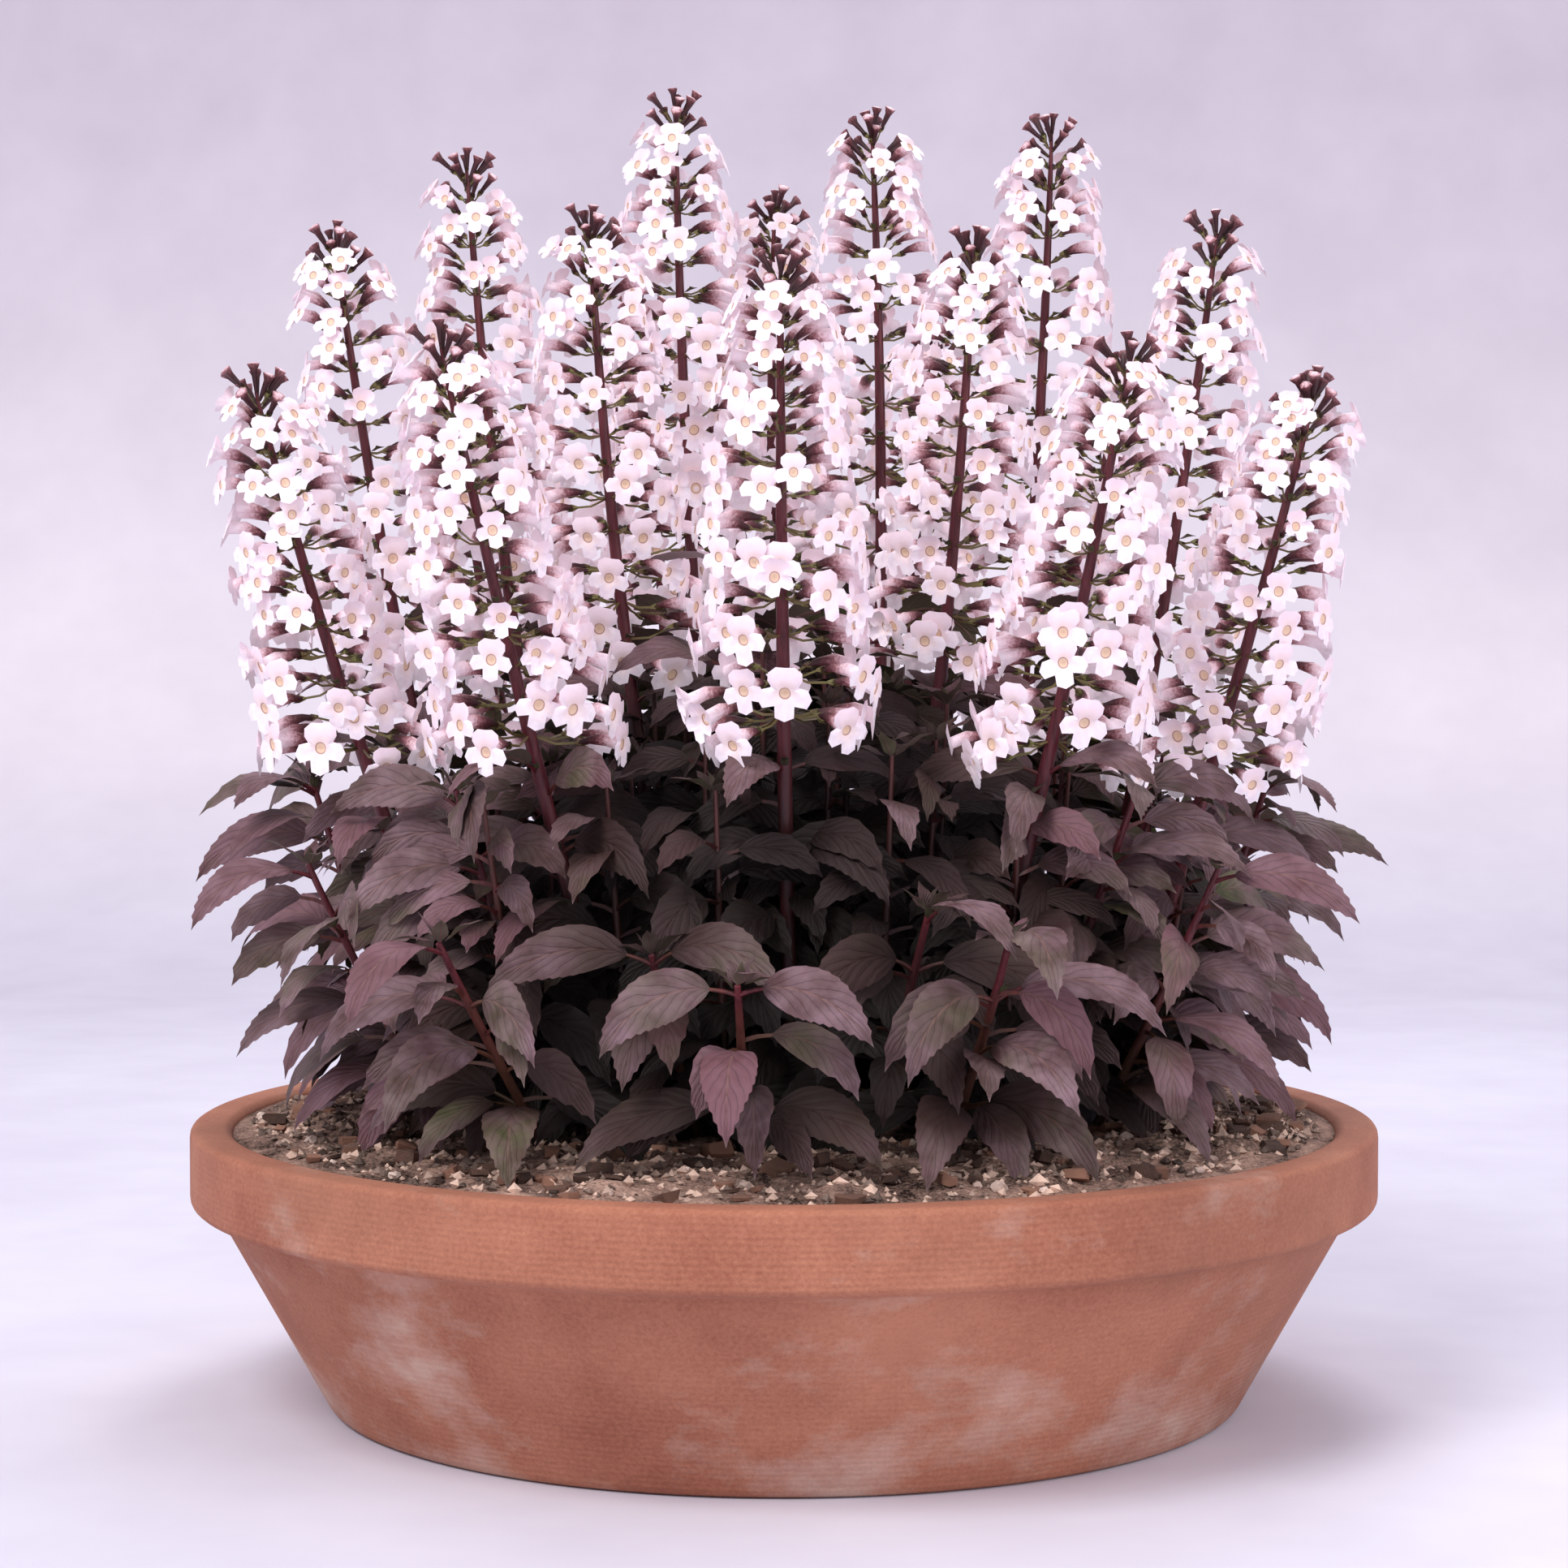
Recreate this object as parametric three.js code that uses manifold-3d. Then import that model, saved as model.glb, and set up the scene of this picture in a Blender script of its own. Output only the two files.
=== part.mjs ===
// A clump of dark-leaved beardtongue in a low terracotta bowl. Millimetres, +Z up, origin at the centre of the bowl's base.
// Leafy stems carry opposite pairs of leaves, a spray of tube-shaped flowers stands on each flowering stem, and short
// shoots without flowers make the skirt of leaves round the foot.
import * as THREE from 'three';
import { mergeVertices } from 'three/addons/utils/BufferGeometryUtils.js';
import Module from 'manifold-3d';

const wasm = await Module();
wasm.setup();

// Bowl and soil
const POT_HEIGHT = 160;
const POT_FOOT_RADIUS = 262;
const POT_RIM_RADIUS = 340;
const POT_RIM_BAND = 46;
const POT_RIM_OVERHANG = 15;
const POT_WALL = 15;
const POT_FLOOR = 16;
const POT_EDGE_ROUND = 4;
const POT_SIDES = 32;
const DRAIN_RADIUS = 8;
const DRAIN_CIRCLE = 120;
const DRAIN_COUNT = 3;
const SOIL_BELOW_RIM = 4;
const SOIL_CROWN = 12;
const SOIL_ROUGHNESS = 1.6;
const GAP = 0.3;

// Stems. Each has its foot (x, y), its tip (x, y, height above the rim) and the share of its height that has leaves.
const FLOWER_STEMS = [
  { foot: [-160, -82], tip: [-290, -92, 411], leafy: 0.5 },
  { foot: [-172, 34], tip: [-266, 62, 508], leafy: 0.5 },
  { foot: [-119, 88], tip: [-193, 122, 561], leafy: 0.53 },
  { foot: [-84, -112], tip: [-180, -176, 428], leafy: 0.5 },
  { foot: [-50, -8], tip: [-111, -6, 509], leafy: 0.52 },
  { foot: [-33, 92], tip: [-66, 112, 596], leafy: 0.55 },
  { foot: [4, 150], tip: [-6, 186, 544], leafy: 0.55 },
  { foot: [5, -122], tip: [-2, -186, 468], leafy: 0.48 },
  { foot: [50, 84], tip: [53, 100, 582], leafy: 0.55 },
  { foot: [59, -14], tip: [108, -24, 495], leafy: 0.52 },
  { foot: [122, 74], tip: [160, 84, 577], leafy: 0.54 },
  { foot: [94, -108], tip: [182, -170, 422], leafy: 0.5 },
  { foot: [172, 48], tip: [257, 66, 516], leafy: 0.5 },
  { foot: [176, -66], tip: [294, -74, 411], leafy: 0.5 },
  { foot: [-132, 158], tip: [-214, 236, 436], leafy: 0.5 },
  { foot: [-58, 186], tip: [-92, 262, 486], leafy: 0.5 },
  { foot: [66, 184], tip: [96, 268, 472], leafy: 0.5 },
  { foot: [138, 150], tip: [214, 232, 438], leafy: 0.5 },
];
const OUTER_SHOOTS = {
  angles: [355, 25, 55, 85, 115, 145, 175, 205, 235, 265, 295, 325],
  footRadius: 206,
  reach: 76,
  sideHeight: 190,
  frontHeight: 96,
};
const INNER_SHOOTS = {
  angles: [0, 60, 115, 190, 220, 255, 291, 325],
  footRadius: 148,
  reach: 80,
  sideHeight: 225,
  frontHeight: 118,
};
const STEM_SIDES = 5;
const STEM_RADIUS = 4.2;
const STEM_TIP_RADIUS = 1.6;
const STEM_TAPER = 2.4;
const SHOOT_RADIUS = 2.8;
const SHOOT_TIP_RADIUS = 1.6;
const STEM_ROOT = 14;
const HOLE_WIDENING = 0.52;
const STEM_BOW = 0.02;
const ROOT_OFFSET = 0.3;
const STEM_STEPS = 3;
const SPRAY_STEPS = 3;
const SPRAY_CORE = 2.2;

// Leaves
const LEAF_SPACING = 40;
const SHOOT_LEAF_SPACING = 48;
const FIRST_LEAF = 34;
const TOP_LEAF_SHARE = 0.95;
const LOW_LEAF = { length: 84, halfWidth: 15.5, petiole: 18, rise: 22, fall: -68 };
const HIGH_LEAF = { length: 70, halfWidth: 12, petiole: 7, rise: 40, fall: -48 };
const LEAF_ROLL = 42;
const SIDE_LEAF_ROLL = 46;
const MOST_LEAF_ROLL = 55;
const LEAF_ROLL_SWAY = 24;
const FRONT_ENDS_AT = 60;
const FRONT_EDGE_WIDTH = 40;
const HIGH_LEAF_AT = 250;
const LEAF_THICKNESS = 2.2;
const LARGE_LEAF_BELOW = 85;
const PETIOLE_HALF_WIDTH = 1.5;
const SPINE_STEPS = 20;
const LIGHT_TURN = 0.34;
const SHADE_ANGLE = 112;
const SHADE_HEIGHT = 170;

// Flowers
const FLOWER_LEVELS = 6;
const FLOWER_STAGGER = 0.035;
const FLOWER_REACH = { low: 43, high: 24 };
const FLOWER_SIZE = { low: 1.5, high: 0.84 };
const FLOWER_RISE = { low: 4, high: 46 };
const FLOWER_NOD = 22;
const THROAT_DEPTH = 5;
const TUBE_RADIUS = 4;
const TUBE_BACK = 7;
const LOBE_ANGLES = [90, 132, 186, 232, 270, 308, 354, 48];
const LOBE_RADII = [11.5, 8.2, 12.6, 5.6, 12.4, 5.6, 12.6, 8.2];
const LOBE_FORWARD = [-1.5, 0, 2, -1.5, 3, -1.5, 2, 0];

// What a leaf or flower tries in turn until it is clear of its neighbours: degrees round the stem, degrees up, size
const TURNS = [0, 11, -11, 22, -22, 34, -34];
const TILTS = [0, 10, -10, 20, -20];
const SIZES = [1, 0.86, 0.72];

const COLOURS = {
  terracotta: new THREE.Color(0xb06a4a),
  soil: new THREE.Color(0x5a4238),
  leaf: new THREE.Color(0x5c4749),
  petal: new THREE.Color(0xe4d6dc),
};

const radians = THREE.MathUtils.degToRad;
const lerp = THREE.MathUtils.lerp;

// An even draw between 0 and 1, always the same for the same stem, item and use.
function draw(stem, item, use) {
  const wave = Math.sin(stem * 12.9898 + item * 78.233 + use * 37.719) * 43758.5453;
  return wave - Math.floor(wave);
}

// A draw between -1 and 1.
function sway(stem, item, use) {
  return 2 * draw(stem, item, use) - 1;
}

function direction(azimuth, elevation) {
  const level = Math.cos(elevation);
  return new THREE.Vector3(level * Math.cos(azimuth), level * Math.sin(azimuth), Math.sin(elevation));
}

function wrapAngle(angle) {
  return Math.atan2(Math.sin(angle), Math.cos(angle));
}

// Triangles between two rings of points, which may differ in number.
function stitch(faces, low, lowCount, high, highCount) {
  let i = 0;
  let j = 0;
  while (i < lowCount || j < highCount) {
    if (j === highCount || (i < lowCount && (i + 1) / lowCount <= (j + 1) / highCount)) {
      faces.push(low + i % lowCount, low + (i + 1) % lowCount, high + j % highCount);
      i += 1;
    } else {
      faces.push(low + i % lowCount, high + (j + 1) % highCount, high + j % highCount);
      j += 1;
    }
  }
}

// A closed skin from a start point through rings of points to an end point. The rings turn anticlockwise seen from the end.
function closedSkin(start, rings, end) {
  const points = [start, ...rings.flat(), end];
  const faces = [];
  let base = 1;
  for (let i = 0; i < rings[0].length; i += 1) {
    faces.push(0, base + (i + 1) % rings[0].length, base + i);
  }
  for (let k = 1; k < rings.length; k += 1) {
    stitch(faces, base, rings[k - 1].length, base + rings[k - 1].length, rings[k].length);
    base += rings[k - 1].length;
  }
  const last = rings[rings.length - 1].length;
  for (let i = 0; i < last; i += 1) {
    faces.push(points.length - 1, base + i, base + (i + 1) % last);
  }
  const geometry = new THREE.BufferGeometry().setFromPoints(points);
  geometry.setIndex(faces);
  return geometry;
}

function solidOf(geometry) {
  const skin = geometry.clone();
  skin.deleteAttribute('normal');
  skin.deleteAttribute('uv');
  const merged = mergeVertices(skin, 1e-3);
  const vertProperties = new Float32Array(merged.getAttribute('position').array);
  const triVerts = new Uint32Array(merged.getIndex().array);
  return new wasm.Manifold(new wasm.Mesh({ numProp: 3, vertProperties, triVerts }));
}

function meshOf(solid, name, colour, roughness) {
  const { vertProperties, triVerts, numProp } = solid.getMesh();
  const places = new Float32Array(vertProperties.length / numProp * 3);
  for (let i = 0; i < places.length; i += 1) {
    places[i] = vertProperties[Math.floor(i / 3) * numProp + i % 3];
  }
  const geometry = new THREE.BufferGeometry();
  geometry.setAttribute('position', new THREE.BufferAttribute(places, 3));
  geometry.setIndex(new THREE.BufferAttribute(new Uint32Array(triVerts), 1));
  geometry.computeVertexNormals();
  const material = new THREE.MeshStandardMaterial({ color: colour, roughness, metalness: 0 });
  const mesh = new THREE.Mesh(geometry, material);
  mesh.name = name;
  return mesh;
}

// Pot: one thrown and fired bowl, with a thick plain rim band and drain holes near the middle of its floor.
function makePot() {
  const bandFoot = POT_HEIGHT - POT_RIM_BAND;
  const wallTop = POT_RIM_RADIUS - POT_RIM_OVERHANG;
  const profile = [
    [0, 0],
    [POT_FOOT_RADIUS, 0],
    [wallTop, bandFoot],
    [POT_RIM_RADIUS, bandFoot + POT_EDGE_ROUND],
    [POT_RIM_RADIUS, POT_HEIGHT - POT_EDGE_ROUND],
    [POT_RIM_RADIUS - POT_EDGE_ROUND, POT_HEIGHT],
    [innerRadius(POT_HEIGHT), POT_HEIGHT],
    [innerRadius(POT_FLOOR), POT_FLOOR],
    [0, POT_FLOOR],
  ];
  let pot = solidOf(standing(new THREE.LatheGeometry(profile.map(([r, z]) => new THREE.Vector2(r, z)), POT_SIDES)));
  for (let i = 0; i < DRAIN_COUNT; i += 1) {
    const angle = i / DRAIN_COUNT * 2 * Math.PI;
    const drill = standing(new THREE.CylinderGeometry(DRAIN_RADIUS, DRAIN_RADIUS, POT_FLOOR * 3, 8));
    drill.translate(DRAIN_CIRCLE * Math.cos(angle), DRAIN_CIRCLE * Math.sin(angle), 0);
    pot = pot.subtract(solidOf(drill));
  }
  return pot;
}

// The bowl's inside radius at a height.
function innerRadius(z) {
  const share = (z - POT_FLOOR) / (POT_HEIGHT - POT_FLOOR);
  return lerp(POT_FOOT_RADIUS - POT_WALL, POT_RIM_RADIUS - POT_RIM_OVERHANG - POT_WALL + 8, share);
}

function standing(geometry) {
  return geometry.rotateX(Math.PI / 2);
}

// The soil's surface: level with the rim near the wall, crowned in the middle, with clods.
function soilTop(radius) {
  const edge = innerRadius(POT_HEIGHT - SOIL_BELOW_RIM);
  const share = Math.min(radius / edge, 1);
  return POT_HEIGHT - SOIL_BELOW_RIM + SOIL_CROWN * (1 - share ** 4);
}

function makeSoil() {
  const edgeTop = POT_HEIGHT - SOIL_BELOW_RIM;
  const edge = innerRadius(edgeTop) - GAP;
  const floor = POT_FLOOR + GAP;
  const profile = [[0, floor], [innerRadius(POT_FLOOR) - GAP, floor], [edge, edgeTop]];
  for (const radius of [edge * 0.84, edge * 0.46]) {
    profile.push([radius, soilTop(radius)]);
  }
  profile.push([0, soilTop(0)]);
  const geometry = standing(new THREE.LatheGeometry(profile.map(([r, z]) => new THREE.Vector2(r, z)), POT_SIDES));
  const place = geometry.getAttribute('position');
  for (let i = 0; i < place.count; i += 1) {
    const x = place.getX(i);
    const y = place.getY(i);
    if (Math.hypot(x, y) < edge - 1 && place.getZ(i) > edgeTop) {
      const clod = Math.sin(x * 0.11 + y * 0.05) + Math.sin(y * 0.13 - x * 0.04 + 1.7);
      place.setZ(i, place.getZ(i) + SOIL_ROUGHNESS * clod);
    }
  }
  return solidOf(geometry);
}

// A stem's middle line: a straight lean with a slight bow, at a share of its height.
function stemPoint(stem, share) {
  const bow = 4 * share * (1 - share);
  return new THREE.Vector3(
    lerp(stem.foot[0], stem.tip[0], share) + bow * stem.bow[0],
    lerp(stem.foot[1], stem.tip[1], share) + bow * stem.bow[1],
    lerp(stem.footHeight, POT_HEIGHT + stem.tip[2], share),
  );
}

function stemRadius(stem, share) {
  return lerp(stem.radius, stem.tipRadius, Math.max(share, 0) ** STEM_TAPER);
}

function stemRing(stem, share, widening, sides) {
  const centre = stemPoint(stem, share);
  const along = stemPoint(stem, share + 0.01).sub(stemPoint(stem, share - 0.01)).normalize();
  const side = new THREE.Vector3(1, 0, 0).cross(along).normalize();
  const front = along.clone().cross(side);
  const ring = [];
  for (let i = 0; i < sides; i += 1) {
    const angle = i / sides * 2 * Math.PI;
    const radius = stemRadius(stem, share) + widening * Math.min(2 - 2 * share, 1);
    ring.push(centre.clone()
      .addScaledVector(side, radius * Math.cos(angle))
      .addScaledVector(front, radius * Math.sin(angle)));
  }
  return ring;
}

// The stem's body between two shares of its height.
function stemBody(stem, from, to, steps, widening = 0, sides = STEM_SIDES) {
  const rings = [];
  for (let i = 0; i <= steps; i += 1) {
    rings.push(stemRing(stem, lerp(from, to, i / steps), widening, sides));
  }
  return solidOf(closedSkin(stemPoint(stem, from), rings, stemPoint(stem, to)));
}

function stemHeight(stem) {
  return POT_HEIGHT + stem.tip[2] - stem.footHeight;
}

// The stems of the clump: the flowering ones from their list, and two rings of short shoots.
function layOutStems() {
  const stems = [];
  for (const [i, row] of FLOWER_STEMS.entries()) {
    stems.push({
      ...row,
      number: i + 1,
      flowers: true,
      name: `leafy_stem_${String(i + 1).padStart(2, '0')}`,
      sprayName: `flower_spray_${String(i + 1).padStart(2, '0')}`,
      radius: STEM_RADIUS,
      tipRadius: STEM_TIP_RADIUS,
    });
  }
  let number = FLOWER_STEMS.length;
  for (const ringOfShoots of [OUTER_SHOOTS, INNER_SHOOTS]) {
    for (const shootAngle of ringOfShoots.angles) {
      number += 1;
      const angle = radians(shootAngle + 3 * sway(number, 0, 1));
      const footRadius = ringOfShoots.footRadius + 7 * sway(number, 0, 2);
      const tipRadius = footRadius + ringOfShoots.reach + 8 * sway(number, 0, 3);
      const sideways = Math.cos(angle) ** 2;
      const height = lerp(ringOfShoots.frontHeight, ringOfShoots.sideHeight, sideways) * (1 + 0.12 * sway(number, 0, 4));
      stems.push({
        foot: [footRadius * Math.cos(angle), footRadius * Math.sin(angle)],
        tip: [tipRadius * Math.cos(angle), tipRadius * Math.sin(angle), height],
        leafy: 1,
        number,
        flowers: false,
        pairs: Math.round(height / SHOOT_LEAF_SPACING) + 1,
        name: `leafy_shoot_${String(number - FLOWER_STEMS.length).padStart(2, '0')}`,
        radius: SHOOT_RADIUS,
        tipRadius: SHOOT_TIP_RADIUS,
      });
    }
  }
  for (const stem of stems) {
    const lean = Math.atan2(stem.tip[1] - stem.foot[1], stem.tip[0] - stem.foot[0]);
    const out = STEM_BOW * stem.tip[2] * (0.5 + 0.5 * draw(stem.number, 0, 5));
    const across = 0.6 * STEM_BOW * stem.tip[2] * sway(stem.number, 0, 6);
    stem.bow = [
      out * Math.cos(lean) - across * Math.sin(lean),
      out * Math.sin(lean) + across * Math.cos(lean),
    ];
    stem.outward = Math.atan2(stem.foot[1] + stem.tip[1], stem.foot[0] + stem.tip[0]);
    stem.footHeight = soilTop(Math.hypot(...stem.foot));
  }
  return stems;
}

// Where a stem's leaves stand: pairs, each turned a quarter from the pair below and both swung a little to the light.
function leafPlaces(stem) {
  const places = [];
  const height = stemHeight(stem);
  const span = height * stem.leafy;
  const pairs = stem.flowers ? Math.floor((span - FIRST_LEAF - LEAF_SPACING / 4) / LEAF_SPACING) + 1 : stem.pairs;
  const spacing = stem.flowers ? LEAF_SPACING : (span - FIRST_LEAF * 0.8) / (pairs - 1);
  const twist = Math.PI * 2 * draw(stem.number, 0, 7);
  for (let pair = 0; pair < pairs; pair += 1) {
    const above = (stem.flowers ? FIRST_LEAF : FIRST_LEAF * 0.72) + spacing * pair + 4 * sway(stem.number, pair, 8);
    for (let side = 0; side < 2; side += 1) {
      const item = pair * 2 + side;
      const start = stem.flowers ? twist : stem.outward + Math.PI / 2;
      const grown = start + Math.PI / 2 * pair + Math.PI * side + 0.2 * sway(stem.number, item, 9);
      const toLight = wrapAngle(stem.outward - grown);
      const azimuth = grown + LIGHT_TURN * toLight * (stem.flowers ? 0.6 : 1);
      const shaded = Math.abs(wrapAngle(stem.outward - azimuth)) > radians(SHADE_ANGLE) && above < SHADE_HEIGHT;
      const deep = Math.hypot(...stem.foot) < 110 && above < 110;
      if (!shaded && !deep) {
        places.push({ item, share: Math.min(above / height, TOP_LEAF_SHARE), above, azimuth });
      }
    }
  }
  return places;
}

// How far a blade is turned about its middle line, in degrees, so that its face looks out of the clump. Blades that
// point along the clump's long side look to the front, or to the back where their stem stands there.
function leafFacing(stem, azimuth) {
  const outOfClump = Math.sin(stem.outward - azimuth) * Math.min(Math.hypot(...stem.foot) / 120, 1);
  const toBack = THREE.MathUtils.clamp((stem.foot[1] - FRONT_ENDS_AT) / FRONT_EDGE_WIDTH, -1, 1);
  const turned = LEAF_ROLL * outOfClump + SIDE_LEAF_ROLL * Math.cos(azimuth) * toBack;
  return THREE.MathUtils.clamp(turned, -MOST_LEAF_ROLL, MOST_LEAF_ROLL);
}

// A leaf's middle line, from inside the stem to its tip, arching over and bending a little to one side.
function leafSpine(stem, place, turn, tilt, size) {
  const age = Math.min(place.above / HIGH_LEAF_AT, 1);
  const blade = lerp(LOW_LEAF.length, HIGH_LEAF.length, age) * size * (1 + 0.1 * sway(stem.number, place.item, 10));
  const petiole = lerp(LOW_LEAF.petiole, HIGH_LEAF.petiole, age) + stemRadius(stem, place.share) * ROOT_OFFSET;
  const rise = lerp(LOW_LEAF.rise, HIGH_LEAF.rise, age) + 10 * sway(stem.number, place.item, 11) + tilt;
  const fall = lerp(LOW_LEAF.fall, HIGH_LEAF.fall, age) + 12 * sway(stem.number, place.item, 12) + tilt;
  const bend = radians(16 * sway(stem.number, place.item, 13));
  const azimuth = place.azimuth + radians(turn);
  const roll = radians(LEAF_ROLL_SWAY * sway(stem.number, place.item, 14) - leafFacing(stem, azimuth));
  const total = petiole + blade;
  const here = stemPoint(stem, place.share)
    .addScaledVector(direction(azimuth, 0), stemRadius(stem, place.share) * ROOT_OFFSET);
  const stations = [];
  for (let i = 0; i <= SPINE_STEPS; i += 1) {
    const share = i / SPINE_STEPS;
    const heading = direction(azimuth + bend * share, radians(lerp(rise, fall, share)));
    const level = direction(azimuth + bend * share + Math.PI / 2, 0);
    const up = heading.clone().cross(level);
    const side = level.clone().multiplyScalar(Math.cos(roll)).addScaledVector(up, Math.sin(roll));
    const normal = heading.clone().cross(side);
    stations.push({ point: here.clone(), heading, side, normal });
    const ahead = (i + 0.5) / SPINE_STEPS;
    here.addScaledVector(direction(azimuth + bend * ahead, radians(lerp(rise, fall, ahead))), total / SPINE_STEPS);
  }
  const halfWidth = lerp(LOW_LEAF.halfWidth, HIGH_LEAF.halfWidth, age) * size;
  return { stations, petioleShare: petiole / total, halfWidth, large: place.above < LARGE_LEAF_BELOW };
}

function leafRing(station, halfWidth, thickness) {
  return [
    station.point.clone().addScaledVector(station.side, halfWidth),
    station.point.clone().addScaledVector(station.side, -halfWidth),
    station.point.clone().addScaledVector(station.normal, -thickness),
  ];
}

// A leaf as a solid: a slim petiole, a blade with a flat top and a keel below, widest before its middle, and a sharp tip.
function leafSolid(spine) {
  const { stations, petioleShare, halfWidth, large } = spine;
  const at = (share) => stations[Math.round(share * SPINE_STEPS)];
  const bladeShare = 1 - petioleShare;
  const rings = [
    leafRing(at(petioleShare), PETIOLE_HALF_WIDTH, LEAF_THICKNESS),
    leafRing(at(petioleShare + 0.38 * bladeShare), halfWidth, LEAF_THICKNESS),
  ];
  if (large) {
    rings.push(leafRing(at(petioleShare + 0.74 * bladeShare), halfWidth * 0.62, LEAF_THICKNESS * 0.8));
  }
  return solidOf(closedSkin(stations[0].point, rings, stations[SPINE_STEPS].point));
}

// Where a spray's flowers stand: opposite pairs, each turned a quarter from the pair below, closer and smaller upwards.
function flowerPlaces(stem) {
  const places = [];
  for (let level = 0; level < FLOWER_LEVELS; level += 1) {
    const up = level / (FLOWER_LEVELS - 1);
    for (let side = 0; side < 2; side += 1) {
      const along = 0.09 + 0.87 * (up * 1.2 - 0.2 * up * up) + FLOWER_STAGGER * (2 * side - 1);
      const share = lerp(stem.leafy, 1, along);
      const item = 100 + level * 2 + side;
      const azimuth = Math.PI * draw(stem.number, 0, 15) + Math.PI / 2 * level + Math.PI * side
        + 0.3 * sway(stem.number, item, 16);
      places.push({ item, share, up, azimuth });
    }
  }
  return places;
}

// A flower as a solid: a trumpet that widens from the stem to four flared lobes round a sunken throat.
function flowerSolid(stem, place, turn, tilt, size) {
  const azimuth = place.azimuth + radians(turn);
  const rise = radians(lerp(FLOWER_RISE.low, FLOWER_RISE.high, place.up) + 8 * sway(stem.number, place.item, 17) + tilt);
  const reach = lerp(FLOWER_REACH.low, FLOWER_REACH.high, place.up) * (1 + 0.1 * sway(stem.number, place.item, 18));
  const scale = lerp(FLOWER_SIZE.low, FLOWER_SIZE.high, place.up) * size;
  const along = direction(azimuth, rise);
  const root = stemPoint(stem, place.share).addScaledVector(along, stemRadius(stem, place.share) * ROOT_OFFSET);
  const mouth = root.clone().addScaledVector(along, reach);
  const facing = direction(azimuth, rise - radians(FLOWER_NOD));
  const side = direction(azimuth + Math.PI / 2, 0);
  const up = facing.clone().cross(side);
  const neck = [];
  for (const angle of [90, 210, 330]) {
    neck.push(mouth.clone()
      .addScaledVector(along, -TUBE_BACK * scale)
      .addScaledVector(side, TUBE_RADIUS * scale * Math.cos(radians(angle)))
      .addScaledVector(up, TUBE_RADIUS * scale * Math.sin(radians(angle))));
  }
  const lobes = LOBE_ANGLES.map((angle, i) => mouth.clone()
    .addScaledVector(side, LOBE_RADII[i] * scale * Math.cos(radians(angle)))
    .addScaledVector(up, LOBE_RADII[i] * scale * Math.sin(radians(angle)))
    .addScaledVector(facing, LOBE_FORWARD[i] * scale));
  const throat = mouth.clone().addScaledVector(facing, -THROAT_DEPTH * scale);
  return solidOf(closedSkin(root, [neck, lobes], throat));
}

// What has been placed so far, with a box each, and a test of a new solid against all of it but the stem it grows from.
const placed = [];

function place(solid, owner) {
  placed.push({ solid, box: solid.boundingBox(), owner });
}

function isClear(solid, owner) {
  const box = solid.boundingBox();
  const reach = 2 * GAP;
  for (const other of placed) {
    if (other.owner === owner) {
      continue;
    }
    let near = true;
    for (let axis = 0; axis < 3; axis += 1) {
      near = near && box.min[axis] - reach < other.box.max[axis] && box.max[axis] + reach > other.box.min[axis];
    }
    if (near && solid.minGap(other.solid, reach) < GAP * 1.2) {
      return false;
    }
  }
  return true;
}

// The first of a leaf's or flower's ways to stand that is clear, or nothing where there is no room for it.
function firstClear(make, owner) {
  for (const size of SIZES) {
    for (const tilt of TILTS) {
      for (const turn of TURNS) {
        const solid = make(turn, tilt, size);
        if (isClear(solid, owner)) {
          place(solid, null);
          return solid;
        }
      }
    }
  }
  return null;
}

function makePlant(soil, pot) {
  const stems = layOutStems();
  place(soil, 'ground');
  place(pot, 'ground');
  for (const stem of stems) {
    const root = -STEM_ROOT / stemHeight(stem);
    const end = stem.flowers ? stem.leafy : 1;
    stem.body = [stemBody(stem, root, end, STEM_STEPS)];
    stem.hole = stemBody(stem, root - GAP / stemHeight(stem), 12 / stemHeight(stem), 1, HOLE_WIDENING * stem.radius, 4);
    place(stemBody(stem, 0.02, end, STEM_STEPS), stem.name);
    if (stem.flowers) {
      const seat = stem.leafy + GAP / stemHeight(stem);
      stem.spray = [stemBody(stem, seat, 1, SPRAY_STEPS, SPRAY_CORE)];
      place(stem.spray[0], stem.sprayName);
    }
  }
  for (const stem of stems.filter((one) => one.flowers)) {
    for (const spot of flowerPlaces(stem)) {
      const flower = firstClear((turn, tilt, size) => flowerSolid(stem, spot, turn, tilt, size), stem.sprayName);
      if (flower) {
        stem.spray.push(flower);
      }
    }
  }
  const outermostFirst = [...stems].sort((a, b) => Math.hypot(...b.foot) - Math.hypot(...a.foot));
  for (const stem of outermostFirst) {
    for (const spot of leafPlaces(stem)) {
      const make = (turn, tilt, size) => leafSolid(leafSpine(stem, spot, turn, tilt, size));
      const leaf = firstClear(make, stem.name);
      if (leaf) {
        stem.body.push(leaf);
      }
    }
  }
  return stems;
}

const plant = new THREE.Group();
const pot = makePot();
let soil = makeSoil();
const stems = makePlant(soil, pot);
for (const stem of stems) {
  soil = soil.subtract(stem.hole);
}
plant.add(meshOf(pot, 'pot', COLOURS.terracotta, 0.85));
plant.add(meshOf(soil, 'soil', COLOURS.soil, 0.95));
for (const stem of stems) {
  plant.add(meshOf(wasm.Manifold.union(stem.body), stem.name, COLOURS.leaf, 0.6));
  if (stem.flowers) {
    plant.add(meshOf(wasm.Manifold.union(stem.spray), stem.sprayName, COLOURS.petal, 0.7));
  }
}

export default plant;
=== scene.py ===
import bmesh
import bpy
from itertools import product
from math import atan2, copysign, cos, exp, floor, hypot, pi, radians, sin, sqrt
from types import SimpleNamespace
from mathutils import Matrix, Vector, noise
from mathutils.kdtree import KDTree


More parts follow.
